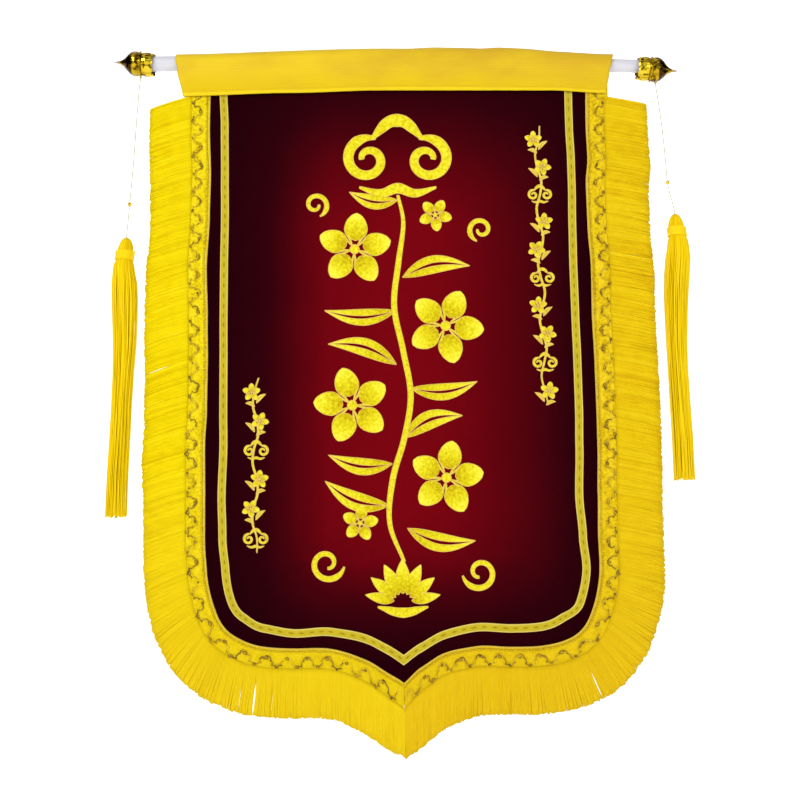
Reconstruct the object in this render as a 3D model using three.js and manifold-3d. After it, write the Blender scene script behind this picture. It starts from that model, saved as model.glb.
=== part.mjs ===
// An honor banner: a shield-shaped velvet panel, sewn into a satin sleeve that hangs on a white rod.
// A flat ribbon follows the panel's edge, a braid with a long fringe covers the edge itself, and a tassel
// hangs on a thread from the finial at each end of the rod.
//
// Millimetres, +Z up, +X to the viewer's right. The front faces -Y. The origin is on the rod's axis, at
// the middle of its length. "Down" is a distance below the origin, and "across" one from the centre line.

import * as THREE from "three";
import { mergeVertices } from "three/addons/utils/BufferGeometryUtils.js";
import Module from "manifold-3d";

const wasm = await Module();
wasm.setup();

// Rod
const ROD_RADIUS = 9;
const ROD_HALF_LENGTH = 304;
const BOW = { drop: 9.9, levelAt: 330 }; // below the middle, and where the bowed rod would run level again
const ROD_TILT = 0.007; // down to the right, for each millimetre across
const ROD_TAPER = { from: -100, to: 290, radius: 7.7 }; // it thins towards the right, from below

// Finials
const SOCKET_DEPTH = 14.4;
const SOCKET_CLEARANCE = 2.5; // they are loose
// Where the rim of each is, how far it hangs below the rod's axis and turns up from it, in degrees, and where
// its lug is, out from the rim
const FINIAL_FIT = {
  left: { rim: -291.5, drop: 1.6, turn: 5.2, lug: 15 },
  right: { rim: 292.4, drop: 1.55, turn: -2.8, lug: 23 },
};
const PETALS = 8;
const LUG = { width: 3.2, thickness: 2, height: 6, reach: 18.2 };
const SPIKE_END = 49.5;
// Out from the rim; lobe is how far the petals stand out between their valleys.
const FINIAL_PROFILE = [
  { along: SOCKET_DEPTH, radius: 0, lobe: 0 },
  { along: SOCKET_DEPTH, radius: ROD_RADIUS + SOCKET_CLEARANCE, lobe: 0 },
  { along: 0.4, radius: ROD_RADIUS + SOCKET_CLEARANCE, lobe: 0 },
  { along: 0, radius: 12.4, lobe: 0.4 },
  { along: 1.6, radius: 12.9, lobe: 0.8 },
  { along: 5, radius: 13.4, lobe: 1 },
  { along: 9, radius: 13.8, lobe: 0.8 },
  { along: 12.6, radius: 13.5, lobe: 0.4 },
  { along: 14.4, radius: 13.2, lobe: 0 },
  { along: 15, radius: 15, lobe: 0 },
  { along: 17, radius: 15, lobe: 0 },
  { along: 17.6, radius: 13.6, lobe: 0 },
  { along: 21, radius: 14.5, lobe: 0 },
  { along: 25, radius: 14.3, lobe: 0 },
  { along: 28.5, radius: 12.8, lobe: 0 },
  { along: 31.5, radius: 10.4, lobe: 0 },
  { along: 34.5, radius: 7.3, lobe: 0 },
  { along: 37, radius: 4.8, lobe: 0 },
  { along: 39.5, radius: 3, lobe: 0 },
  { along: 42, radius: 1.9, lobe: 0 },
  { along: 46, radius: 1.1, lobe: 0 },
  { along: SPIKE_END, radius: 0, lobe: 0 },
];

// Cloth, from the velvet forward
const VELVET = 1.6;
const SATIN = 1.2;
const RIBBON = 1;
const BRAID = 1.8;
const LAYER_GAP = 0.5;
const CLOTH_CLEARANCE = 0.5; // between the sleeve and the rod

// Velvet panel. Its visible edge is where the braid starts, and it runs on under the braid.
const PANEL_HALF_WIDTH = 225;
const PANEL_TOP = 24;
const PANEL_LAP = 20;
const CORNER_DOWN = 583; // the side turns into the bottom corner here
const FLAT_ACROSS = 118; // the corner ends and the sweep to the tip starts here
const FLAT_DOWN = 699;
const TIP_DOWN = 738;
const CLOTH_SHIFT = 1.3; // the cloth hangs this far right of the rod's middle
const LEAN = 0.0125; // and drifts this much further for each millimetre down

// The visible edge is a little uneven. The rows say how far each half strays outward, at a distance along the
// edge, and how long the fringe is there, as a share of a lock's length.
const UNEVEN = {
  left: [
    { along: 0, stray: -1.1, fringe: 0.99 },
    { along: 60, stray: -0.6, fringe: 0.99 },
    { along: 120, stray: -2.5, fringe: 0.99 },
    { along: 170, stray: -1.6, fringe: 0.95 },
    { along: 230, stray: 1.3, fringe: 0.985 },
    { along: 290, stray: -0.4, fringe: 1.03 },
    { along: 340, stray: -1.1, fringe: 1.015 },
    { along: 400, stray: -0.7, fringe: 1.005 },
    { along: 440, stray: 1.1, fringe: 1.005 },
    { along: 500, stray: 0.2, fringe: 0.975 },
    { along: 545, stray: -0.1, fringe: 0.955 },
    { along: 585, stray: -1.7, fringe: 0.985 },
    { along: 625, stray: -3, fringe: 1.03 },
    { along: 665, stray: -0.5, fringe: 1.03 },
    { along: 700, stray: 1.3, fringe: 1.03 },
    { along: 740, stray: 1.2, fringe: 1.02 },
    { along: 780, stray: -1.1, fringe: 1.03 },
    { along: 820, stray: 0.1, fringe: 1.1 },
    { along: 845, stray: 1.7, fringe: 1.1 },
    { along: 868, stray: 0.5, fringe: 1 },
  ],
  right: [
    { along: 0, stray: 2.6, fringe: 0.96 },
    { along: 60, stray: 1.3, fringe: 1 },
    { along: 95, stray: 2, fringe: 1.01 },
    { along: 130, stray: -1.1, fringe: 1 },
    { along: 180, stray: -0.8, fringe: 0.99 },
    { along: 230, stray: 1.3, fringe: 1 },
    { along: 290, stray: 0.4, fringe: 1 },
    { along: 340, stray: 1.3, fringe: 1 },
    { along: 400, stray: 1.4, fringe: 1 },
    { along: 440, stray: 1.1, fringe: 1 },
    { along: 500, stray: -0.6, fringe: 1 },
    { along: 545, stray: -1.8, fringe: 1.01 },
    { along: 585, stray: -0.6, fringe: 1.01 },
    { along: 625, stray: -1.6, fringe: 1.01 },
    { along: 665, stray: 0.8, fringe: 1 },
    { along: 700, stray: 0.5, fringe: 0.98 },
    { along: 740, stray: -0.3, fringe: 0.98 },
    { along: 780, stray: -3.6, fringe: 1.03 },
    { along: 815, stray: -5.3, fringe: 1.12 },
    { along: 845, stray: -2.7, fringe: 1.17 },
    { along: 868, stray: 0.5, fringe: 1.05 },
  ],
};

// Trims, from their tops under the sleeve
const TRIM_TOP = 30;
const RIBBON_WIDTH = 9.4;
const RIBBON_INSET = {
  left: [
    { along: 0, inset: 15.9 },
    { along: 60, inset: 18.3 },
    { along: 120, inset: 19 },
    { along: 170, inset: 19.5 },
    { along: 230, inset: 19 },
    { along: 290, inset: 18.9 },
    { along: 340, inset: 19.3 },
    { along: 400, inset: 19.5 },
    { along: 440, inset: 20.1 },
    { along: 500, inset: 18.6 },
    { along: 545, inset: 20 },
    { along: 585, inset: 22.8 },
    { along: 625, inset: 23.2 },
    { along: 665, inset: 22.9 },
    { along: 700, inset: 18.6 },
    { along: 740, inset: 15.3 },
    { along: 780, inset: 19.5 },
    { along: 820, inset: 21.3 },
    { along: 845, inset: 20.1 },
    { along: 868, inset: 19.5 },
  ],
  right: [
    { along: 0, inset: 18.2 },
    { along: 60, inset: 18.6 },
    { along: 95, inset: 17.6 },
    { along: 130, inset: 17.7 },
    { along: 180, inset: 18.7 },
    { along: 230, inset: 19.1 },
    { along: 290, inset: 18.9 },
    { along: 340, inset: 18.4 },
    { along: 400, inset: 18.5 },
    { along: 440, inset: 19.5 },
    { along: 500, inset: 21.6 },
    { along: 545, inset: 19 },
    { along: 585, inset: 15.2 },
    { along: 625, inset: 16.7 },
    { along: 665, inset: 22.5 },
    { along: 700, inset: 20.4 },
    { along: 740, inset: 20.6 },
    { along: 780, inset: 24.1 },
    { along: 815, inset: 23.9 },
    { along: 845, inset: 21 },
    { along: 868, inset: 19.5 },
  ],
};
const BRAID_WIDTH = 27;

// Fringe
const FRINGE_TOP = { left: 50, right: 50 };
const FRINGE_PITCH = 8.6;
const LOCK_LENGTH = 49;
const LOCK_GAP = 1.3;
const LOCK_ROOT = 2.2; // how deep a lock's root sits in the braid
const LOCK_SHORTEST = 0.985; // trimmed unevenly, down to this share of its length
const LOCK_SPLAY = 3; // degrees, all told, that partings stray from their direction
const LOCK_LIFT = 1.6; // all told, that tips stray to the front or back
const TIP_GAP = 0.4; // between the two halves
const LOCK_SECTIONS = [
  { at: 0, width: 1, thickness: 1.3 },
  { at: 0.5, width: 1, thickness: 3 },
  { at: 1, width: 0.9, thickness: 2.2 },
];
const DROOP = { left: 19, right: 12 }; // degrees below the edge's own normal, along the sides

// Sleeve
const SLEEVE = { shift: -1, frontDown: 43, backDown: 41 };
// How far each end is from the sleeve's middle, at a distance below the rod's axis
const SLEEVE_ENDS = [
  { down: -10, left: 263, right: 264 },
  { down: 0, left: 263, right: 261 },
  { down: 12, left: 260.5, right: 258 },
  { down: 43, left: 254.5, right: 254.5 },
];
const PUFF = { front: 2.4, back: 1 }; // how far the tails bulge off the straight line
const HEM = [
  { x: -256, down: 50 },
  { x: -127, down: 46 },
  { x: -18, down: 42.8 },
  { x: 187, down: 42.8 },
  { x: 254, down: 46.2 },
];
// How far the top of the sleeve stands up off the rod
const CREST = [
  { x: -139, raise: 0 },
  { x: 10, raise: 0.6 },
  { x: 54, raise: 3 },
  { x: 100, raise: 3.6 },
  { x: 128, raise: 6 },
  { x: 152, raise: 6.2 },
  { x: 200, raise: 4.5 },
  { x: 264, raise: 3.5 },
];

// Tassels: where the top of each head hangs, and the shape below it
const TASSELS = {
  left: { x: -318.4, down: 224, length: 331, seed: 400 },
  right: { x: 332.6, down: 195, length: 317, seed: 500 },
};
const HEAD_PROFILE = [
  { down: 0, radius: 2.2 },
  { down: 3, radius: 5.6 },
  { down: 9, radius: 8.2 },
  { down: 15, radius: 9.8 },
  { down: 16, radius: 10.8 },
  { down: 27, radius: 11.2 },
  { down: 28, radius: 10.4 },
  { down: 34, radius: 12.9 },
];
const SKIRT_PROFILE = [
  { at: 0, radius: 12.2 },
  { at: 0.11, radius: 14.8 },
  { at: 0.55, radius: 11.4 },
  { at: 1, radius: 11.9 },
];
// How far the middle of a tassel strays sideways
const WANDER = [
  { down: 0, left: 0, right: 0 },
  { down: 37, left: -2, right: 2.2 },
  { down: 60, left: -0.5, right: 1.2 },
  { down: 85, left: 1, right: -1.8 },
  { down: 125, left: 2, right: -2.9 },
  { down: 170, left: 1.3, right: -3.4 },
  { down: 220, left: 0.2, right: -1.6 },
  { down: 285, left: -1.2, right: 0.2 },
  { down: 331, left: -1.4, right: 0.6 },
];
const SKIRT_START = 29;
const SKIRT_TRIM = 2.5; // its locks end up to this much short
const SKIRT_RINGS = [
  { locks: 15, reach: 0.82 },
  { locks: 7, reach: 0.42 },
];
const SKIRT_LOCK = { share: 0.84, depth: 0.17, swing: 0.06 }; // of its place's width, of the radius, radians
const BEAD = { radius: 2.4, bore: 0.9, height: 4 };

// The threads' routes from each finial's lug to its tassel's head, as x and down, in the plane y = 0
const THREAD_RADIUS = 0.5;
const THREADS = {
  left: {
    beadDown: 183,
    route: [
      [-308, 26.5], [-309.1, 40], [-309.9, 55], [-310.6, 70], [-311.2, 85], [-311.8, 100],
      [-312.4, 115], [-313, 130], [-313.8, 145], [-314.6, 159], [-315.4, 172], [-316, 183],
      [-316.6, 193], [-317.2, 203], [-317.9, 213], [-318.4, 223.7],
    ],
  },
  right: {
    beadDown: 156,
    route: [
      [314.1, 33.4], [315.4, 43], [316.8, 54], [318.1, 65], [319.3, 76.5], [320.4, 88],
      [321.4, 100], [322.2, 111], [323, 122], [323.6, 134], [324.1, 145], [324.9, 156],
      [326.8, 167], [329.2, 178], [331.3, 187], [332.6, 194.7],
    ],
  },
};

// Facets round each turned piece, and parts along each long one
const FACETS = { rod: 20, finial: 4 * PETALS, tassel: 20, bead: 16 };
const ALONG = { rod: 12, sleeve: 18, sleeveTail: 4, sleeveTurn: 14, panelRows: 9, thread: 40 };

const COLOURS = {
  velvet: { color: 0x5a0410, roughness: 0.85, metalness: 0 },
  satin: { color: 0xf0cc2c, roughness: 0.42, metalness: 0 },
  fringe: { color: 0xf2d010, roughness: 0.6, metalness: 0 },
  ribbon: { color: 0xd9c93a, roughness: 0.5, metalness: 0 },
  rod: { color: 0xe9e7ec, roughness: 0.3, metalness: 0 },
  gold: { color: 0xd9b32c, roughness: 0.15, metalness: 1 },
  thread: { color: 0xcfcfa6, roughness: 0.4, metalness: 0 },
};

const radians = THREE.MathUtils.degToRad;
const lerp = THREE.MathUtils.lerp;

// A repeatable number from -0.5 to 0.5 for a lock or fold
const jitter = (n) => {
  const wave = Math.sin(n * 12.9898 + 4.1) * 43758.5453;
  return wave - Math.floor(wave) - 0.5;
};

// The value of a table's column at a place between its rows
function tableAt(rows, key, at, column) {
  let row = 0;
  while (row < rows.length - 2 && at > rows[row + 1][key]) row++;
  const [a, b] = [rows[row], rows[row + 1]];
  return lerp(a[column], b[column], THREE.MathUtils.smoothstep(at, a[key], b[key]));
}

// Shapes of the rod and of the hanging cloth

// Height of the rod's axis
const axisHeight = (x) => (-BOW.drop * (1 - Math.cos((Math.PI * x) / BOW.levelAt))) / 2 - ROD_TILT * x;

// How far the cloth swings back or forward: still at the sleeve, in soft waves lower down
function sway(x, down) {
  const depth = THREE.MathUtils.smoothstep(down, 50, TIP_DOWN);
  return depth * (3.6 * Math.sin(x / 66 + 0.9) + 1.6 * Math.sin(x / 120 + down / 130));
}

// A point of the hanging cloth; layer is its distance behind the middle of the velvet
function hang(across, down, layer) {
  const x = across + CLOTH_SHIFT + LEAN * Math.max(0, down - PANEL_TOP);
  return new THREE.Vector3(x, layer + sway(x, down), -down);
}

// The panel's visible edge on one side, as across and down, from under the sleeve to the tip
const edge = new THREE.Path();
edge.moveTo(PANEL_HALF_WIDTH, TRIM_TOP);
edge.lineTo(PANEL_HALF_WIDTH, CORNER_DOWN);
edge.bezierCurveTo(PANEL_HALF_WIDTH, CORNER_DOWN + 95, FLAT_ACROSS + 85, FLAT_DOWN, FLAT_ACROSS, FLAT_DOWN);
edge.bezierCurveTo(FLAT_ACROSS - 60, FLAT_DOWN, 24, TIP_DOWN - 18, 0, TIP_DOWN);
const [sideLength, cornerEnd, edgeLength] = edge.getCurveLengths();

// The direction across the trim at a distance along the edge: square to it as far as the flat bottom, and
// then straight down, so that the two halves meet at the tip. The stretch keeps the trim's width.
function rib(along) {
  const u = Math.min(1, along / edgeLength);
  const point = edge.getPointAt(u);
  const tangent = edge.getTangentAt(u);
  const normal = new THREE.Vector2(tangent.y, -tangent.x);
  const out = along < cornerEnd ? normal : new THREE.Vector2(0, 1);
  return { point, normal, out, stretch: 1 / out.dot(normal) };
}

// The point at an offset from the even edge, outward if positive
function offsetPoint(along, offset) {
  const { point, out, stretch } = rib(along);
  return point.clone().addScaledVector(out, offset * stretch);
}

// The point at an offset from the visible edge of one side
function edgePoint(side, along, offset) {
  return offsetPoint(along, offset + tableAt(UNEVEN[side], "along", along, "stray"));
}

// Distances along the edge: far apart on the straight side, close together where it bends
function stations(sideParts, cornerParts, sweepParts) {
  const part = (from, to, parts) => Array.from({ length: parts }, (_, i) => lerp(from, to, i / parts));
  return [
    ...part(0, sideLength, sideParts),
    ...part(sideLength, cornerEnd, cornerParts),
    ...part(cornerEnd, edgeLength, sweepParts),
    edgeLength,
  ];
}

// Meshes

// A closed mesh through a row of sections. A section is a loop of points whose first and last, second and
// last but one, and so on, lie opposite each other, so that each end closes as a ladder.
function loft(sections) {
  const n = sections[0].length;
  const faces = [];
  const quad = (a, b, c, d) => faces.push(a, b, c, a, c, d);
  for (let s = 0; s + 1 < sections.length; s++)
    for (let i = 0; i < n; i++) {
      const j = (i + 1) % n;
      quad(s * n + i, (s + 1) * n + i, (s + 1) * n + j, s * n + j);
    }
  const last = (sections.length - 1) * n;
  for (let i = 0; i < n / 2 - 1; i++) {
    quad(i, i + 1, n - 2 - i, n - 1 - i);
    quad(last + n - 1 - i, last + n - 2 - i, last + i + 1, last + i);
  }
  return facingOut(sections.flat(), faces);
}

// The mesh of those points and triangles, turned inside out if its volume comes out negative
function facingOut(points, faces) {
  let volume = 0;
  for (let f = 0; f < faces.length; f += 3) {
    const [a, b, c] = [points[faces[f]], points[faces[f + 1]], points[faces[f + 2]]];
    volume += a.dot(new THREE.Vector3().crossVectors(b, c));
  }
  const geometry = new THREE.BufferGeometry().setFromPoints(points);
  geometry.setIndex(volume < 0 ? faces.toReversed() : faces);
  return geometry;
}

function solidOf(geometry) {
  const bare = geometry.clone();
  bare.deleteAttribute("normal");
  bare.deleteAttribute("uv");
  const merged = mergeVertices(bare, 1e-4);
  return new wasm.Manifold(
    new wasm.Mesh({
      numProp: 3,
      vertProperties: merged.attributes.position.array,
      triVerts: new Uint32Array(merged.index.array),
    }),
  );
}

// One mesh of several that overlap
function fuse(geometries) {
  const [first, ...rest] = geometries.map(solidOf);
  const mesh = rest.reduce((all, next) => all.add(next), first).getMesh();
  const fused = new THREE.BufferGeometry();
  fused.setAttribute("position", new THREE.BufferAttribute(mesh.vertProperties, 3));
  fused.setIndex(new THREE.BufferAttribute(mesh.triVerts, 1));
  return fused;
}

// Moves each vertex of a geometry by a function of its place
function reshape(geometry, change) {
  const position = geometry.attributes.position;
  const point = new THREE.Vector3();
  for (let i = 0; i < position.count; i++) {
    change(point.fromBufferAttribute(position, i));
    position.setXYZ(i, point.x, point.y, point.z);
  }
  return geometry;
}

const banner = new THREE.Group();

function add(name, finish, geometry, parent = banner) {
  geometry.computeVertexNormals();
  const mesh = new THREE.Mesh(geometry, new THREE.MeshStandardMaterial(COLOURS[finish]));
  mesh.name = name;
  parent.add(mesh);
  return mesh;
}

// Rod: a round bar, bowed and tapered a little

function rodGeometry() {
  const bar = new THREE.CylinderGeometry(ROD_RADIUS, ROD_RADIUS, 2 * ROD_HALF_LENGTH, FACETS.rod, ALONG.rod);
  bar.rotateZ(Math.PI / 2);
  return reshape(bar, (p) => {
    const thinning = THREE.MathUtils.smoothstep(p.x, ROD_TAPER.from, ROD_TAPER.to);
    const radius = lerp(ROD_RADIUS, ROD_TAPER.radius, thinning);
    p.y *= radius / ROD_RADIUS;
    p.z = (p.z * radius) / ROD_RADIUS + ROD_RADIUS - radius + axisHeight(p.x);
  });
}

// Finials: a cup of petals that takes the rod's end, a ring, and a bulb that runs out to a spike. A flat lug
// holds the thread.

function finialGeometry(lugAt) {
  const profile = FINIAL_PROFILE.map((row) => new THREE.Vector2(row.radius, row.along));
  const body = new THREE.LatheGeometry(profile, FACETS.finial);
  const rows = FINIAL_PROFILE.length;
  const position = body.attributes.position;
  for (let i = 0; i < position.count; i++) {
    const { radius, lobe } = FINIAL_PROFILE[i % rows];
    if (!lobe) continue;
    const around = Math.atan2(position.getX(i), position.getZ(i));
    const raise = 1 + (lobe * Math.abs(Math.cos((PETALS / 2) * around))) / radius;
    position.setX(i, position.getX(i) * raise);
    position.setZ(i, position.getZ(i) * raise);
  }
  const lug = new THREE.BoxGeometry(LUG.thickness, LUG.width, LUG.height);
  lug.translate(0, lugAt, LUG.height / 2 - LUG.reach);
  const fused = fuse([body, lug]);
  return fused.rotateZ(-Math.PI / 2); // the axis now runs along +X, out of the banner
}

function addFinial(side) {
  const sign = side === "left" ? -1 : 1;
  const { rim, drop, turn, lug } = FINIAL_FIT[side];
  const end = sign * ROD_HALF_LENGTH;
  const slope = Math.atan((axisHeight(rim) - axisHeight(end)) / (end - rim));
  const seat = new THREE.Group();
  seat.position.set(rim, 0, axisHeight(rim) - drop);
  seat.rotation.set(0, slope - sign * radians(turn), 0);
  banner.add(seat);
  const geometry = finialGeometry(lug);
  if (sign < 0) geometry.rotateZ(Math.PI);
  return add(`finial_${side}`, "gold", geometry, seat);
}

// Sleeve: one piece of satin round the rod, its two tails holding the top of the panel between them

function sleeveGeometry() {
  const radius = ROD_RADIUS + CLOTH_CLEARANCE + SATIN / 2;
  const front = new THREE.Vector2(-(VELVET / 2 + 2 * LAYER_GAP + BRAID + SATIN / 2), -SLEEVE.frontDown);
  const back = new THREE.Vector2(VELVET / 2 + LAYER_GAP + SATIN / 2, -SLEEVE.backDown);
  const leave = (tail, sign) => tail.angle() + sign * Math.acos(radius / tail.length());
  const startAngle = leave(front, -1);
  const endAngle = leave(back, 1) - 2 * Math.PI;
  const onRod = (angle) => new THREE.Vector2(Math.cos(angle), Math.sin(angle)).multiplyScalar(radius);

  // The middle of the cloth, from the front tail's hem over the rod to the back tail's hem
  const tail = ALONG.sleeveTail;
  const turn = ALONG.sleeveTurn;
  const middle = [];
  for (let i = 0; i < tail; i++) middle.push(front.clone().lerp(onRod(startAngle), i / tail));
  for (let i = 0; i <= turn; i++) middle.push(onRod(lerp(startAngle, endAngle, i / turn)));
  for (let i = 1; i <= tail; i++) middle.push(onRod(endAngle).lerp(back, i / tail));

  const sections = [];
  for (let c = 0; c <= ALONG.sleeve; c++) {
    const u = (2 * c) / ALONG.sleeve - 1;
    const side = (offset) =>
      middle.map((m, i) => {
        const before = middle[Math.max(0, i - 1)];
        const after = middle[Math.min(middle.length - 1, i + 1)];
        const tangent = after.clone().sub(before).normalize();
        const depth = THREE.MathUtils.clamp(-m.y / SLEEVE.frontDown, 0, 1);
        const half = tableAt(SLEEVE_ENDS, "down", -m.y, u < 0 ? "left" : "right");
        const x = SLEEVE.shift + u * half;
        const bulge = Math.sin(Math.PI * depth) * (0.6 + 0.4 * Math.sin(x / 47 + 1));
        const y = m.x + tangent.y * offset + bulge * (m.x < 0 ? -PUFF.front : PUFF.back);
        const settle = lerp(axisHeight(x), SLEEVE.frontDown - tableAt(HEM, "x", x, "down"), depth);
        const stand = tableAt(CREST, "x", x, "raise") * THREE.MathUtils.smoothstep(m.y, -3, radius);
        return new THREE.Vector3(x, y, m.y - tangent.x * offset + settle + stand);
      });
    sections.push([...side(-SATIN / 2), ...side(SATIN / 2).reverse()]);
  }
  return loft(sections);
}

// Panel: the velvet, from inside the sleeve to its even cut edge under the braid

function panelGeometry() {
  const places = stations(1, 10, 8).slice(1);
  const right = places.map((along) => offsetPoint(along, PANEL_LAP));
  const left = right.map((p) => new THREE.Vector2(-p.x, p.y));
  const bottom = [...left, ...right.slice(0, -1).reverse()];
  const face = (p, layer) =>
    Array.from({ length: ALONG.panelRows + 1 }, (_, r) =>
      hang(p.x, lerp(PANEL_TOP, p.y, r / ALONG.panelRows), layer),
    );
  return loft(bottom.map((p) => [...face(p, -VELVET / 2), ...face(p, VELVET / 2).reverse()]));
}

// A flat strip between two lines of points. Its faces lie at two distances behind the velvet's middle.
function stripSections(side, inners, outers, front, back) {
  const sign = side === "left" ? -1 : 1;
  return inners.map((inner, i) => {
    const outer = outers[i];
    return [
      hang(sign * inner.x, inner.y, front),
      hang(sign * outer.x, outer.y, front),
      hang(sign * outer.x, outer.y, back),
      hang(sign * inner.x, inner.y, back),
    ];
  });
}

function ribbonGeometry() {
  const places = stations(12, 10, 10);
  const front = -(VELVET / 2 + LAYER_GAP + RIBBON);
  const [left, right] = ["left", "right"].map((side) => {
    const line = (half) =>
      places.map((along) => offsetPoint(along, half - tableAt(RIBBON_INSET[side], "along", along, "inset")));
    return stripSections(side, line(-RIBBON_WIDTH / 2), line(RIBBON_WIDTH / 2), front, front + RIBBON);
  });
  return loft([...left, ...right.slice(0, -1).reverse()]);
}

// Fringe: half of the braid, with the locks that hang from its outer edge

// The line between two locks, from its root in the braid. It starts out across the braid, bent down by the
// droop where the edge is upright, and bends down a little further on its way.
function partingAt(side, along, seed) {
  const { out } = rib(along);
  const root = edgePoint(side, along, BRAID_WIDTH - LOCK_ROOT);
  const length = LOCK_LENGTH * tableAt(UNEVEN[side], "along", along, "fringe") + LOCK_ROOT;
  const fan = radians(DROOP[side] + LOCK_SPLAY * jitter(seed)) * out.x;
  return (at) => {
    const direction = out.clone().rotateAround(new THREE.Vector2(), fan * (0.75 + 0.25 * at));
    return root.clone().addScaledVector(direction, length * at);
  };
}

// A lock between two partings
function lockGeometry(side, before, after, seed) {
  const sign = side === "left" ? -1 : 1;
  const middle = -(VELVET / 2 + LAYER_GAP + BRAID / 2);
  const trim = lerp(LOCK_SHORTEST, 1, jitter(seed) + 0.5);
  const sections = LOCK_SECTIONS.map((section) => {
    const from = before(section.at * trim);
    const to = after(section.at * trim);
    const inset = (LOCK_GAP / 2) / from.distanceTo(to) + (1 - section.width) / 2;
    const layer = middle + LOCK_LIFT * jitter(seed + 90) * section.at;
    const corner = (across, depth) => {
      const p = from.clone().lerp(to, across);
      return hang(sign * p.x, p.y, layer + depth * section.thickness);
    };
    return [corner(inset, -0.5), corner(1 - inset, -0.5), corner(1 - inset, 0.5), corner(inset, 0.5)];
  });
  return loft(sections);
}

function fringeGeometry(side) {
  const seed = side === "left" ? 0 : 200;
  const back = -(VELVET / 2 + LAYER_GAP);
  const line = (offset) => stations(12, 12, 12).map((along) => edgePoint(side, along, offset));
  const strip = stripSections(side, line(0), line(BRAID_WIDTH), back - BRAID, back);
  // The two halves part at the tip.
  strip.at(-1).forEach((p) => {
    p.x += side === "left" ? -TIP_GAP / 2 : TIP_GAP / 2;
  });
  const from = FRINGE_TOP[side] - TRIM_TOP;
  const count = Math.round((edgeLength - from) / FRINGE_PITCH);
  const partings = Array.from({ length: count + 1 }, (_, k) =>
    partingAt(side, lerp(from, edgeLength, k / count), seed + k),
  );
  const locks = partings.slice(1).map((after, k) => lockGeometry(side, partings[k], after, seed + k));
  return fuse([loft(strip), ...locks]);
}

// Tassels: a bound head with two rings of locks below it

function tasselGeometry(side) {
  const { length, seed: first } = TASSELS[side];
  const head = new THREE.LatheGeometry(
    [
      new THREE.Vector2(0, 0),
      ...HEAD_PROFILE.map((row) => new THREE.Vector2(row.radius, -row.down)),
      new THREE.Vector2(0, -HEAD_PROFILE.at(-1).down),
    ].reverse(),
    FACETS.tassel,
  ).rotateX(Math.PI / 2);
  const skirt = length - SKIRT_START;
  const locks = SKIRT_RINGS.flatMap((ring, r) =>
    Array.from({ length: ring.locks }, (_, k) => {
      const around = (2 * Math.PI * (k + 0.5 * r)) / ring.locks;
      const seed = first + 40 * r + k;
      const trimmed = skirt - SKIRT_TRIM * (jitter(seed) + 0.5);
      const sections = SKIRT_PROFILE.map((row) => {
        const reach = row.radius * ring.reach;
        const halfWidth = (SKIRT_LOCK.share * Math.PI * reach) / ring.locks;
        const depth = Math.min(halfWidth, row.radius * SKIRT_LOCK.depth);
        const angle = around + SKIRT_LOCK.swing * row.at * jitter(seed + 7);
        const out = new THREE.Vector3(Math.cos(angle), Math.sin(angle), 0);
        const across = new THREE.Vector3(-out.y, out.x, 0);
        const corner = (inOut, leftRight) => {
          const radius = reach + inOut * depth;
          return new THREE.Vector3(0, 0, -SKIRT_START - trimmed * row.at)
            .addScaledVector(out, radius)
            .addScaledVector(across, (leftRight * halfWidth * radius) / reach);
        };
        return [corner(-1, -1), corner(1, -1), corner(1, 1), corner(-1, 1)];
      });
      return loft(sections);
    }),
  );
  return reshape(fuse([head, ...locks]), (p) => {
    p.x += tableAt(WANDER, "down", -p.z, side);
  });
}

function addTassel(side) {
  const tassel = TASSELS[side];
  const { route, beadDown } = THREADS[side];
  const points = route.map(([x, down]) => new THREE.Vector3(x, 0, -down));
  const curve = new THREE.CatmullRomCurve3(points);
  const section = new THREE.Shape().absarc(0, 0, THREAD_RADIUS, 0, 2 * Math.PI);
  add(
    `thread_${side}`,
    "thread",
    new THREE.ExtrudeGeometry(section, {
      extrudePath: curve,
      steps: ALONG.thread,
      curveSegments: 4,
    }),
  );

  const bead = new THREE.LatheGeometry(
    [
      [BEAD.bore, -BEAD.height / 2],
      [BEAD.radius * 0.7, -BEAD.height / 2],
      [BEAD.radius, 0],
      [BEAD.radius * 0.7, BEAD.height / 2],
      [BEAD.bore, BEAD.height / 2],
      [BEAD.bore, -BEAD.height / 2],
    ].map(([radius, height]) => new THREE.Vector2(radius, height)),
    FACETS.bead,
  ).rotateX(Math.PI / 2);
  const at = route.find(([, down]) => down === beadDown);
  add(`bead_${side}`, "gold", bead).position.set(at[0], 0, -beadDown);

  add(`tassel_${side}`, "fringe", tasselGeometry(side)).position.set(tassel.x, 0, -tassel.down);
}

add("rod", "rod", rodGeometry());
add("sleeve", "satin", sleeveGeometry());
add("panel", "velvet", panelGeometry());
add("ribbon", "ribbon", ribbonGeometry());
for (const side of ["left", "right"]) {
  addFinial(side);
  add(`fringe_${side}`, "fringe", fringeGeometry(side));
  addTassel(side);
}

export default banner;
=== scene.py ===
# The look of an honor banner: a velvet panel in a satin sleeve, with its trims, fringe and tassels.
#
# Shapes are worked out in millimetres in the part's frame, and become metres where a mesh is made. The front
# faces -Y. "Down" is a distance below the origin, "across" one from the cloth's centre line, and "along" one
# round the panel's edge, from under the sleeve to the tip.

import math

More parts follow.
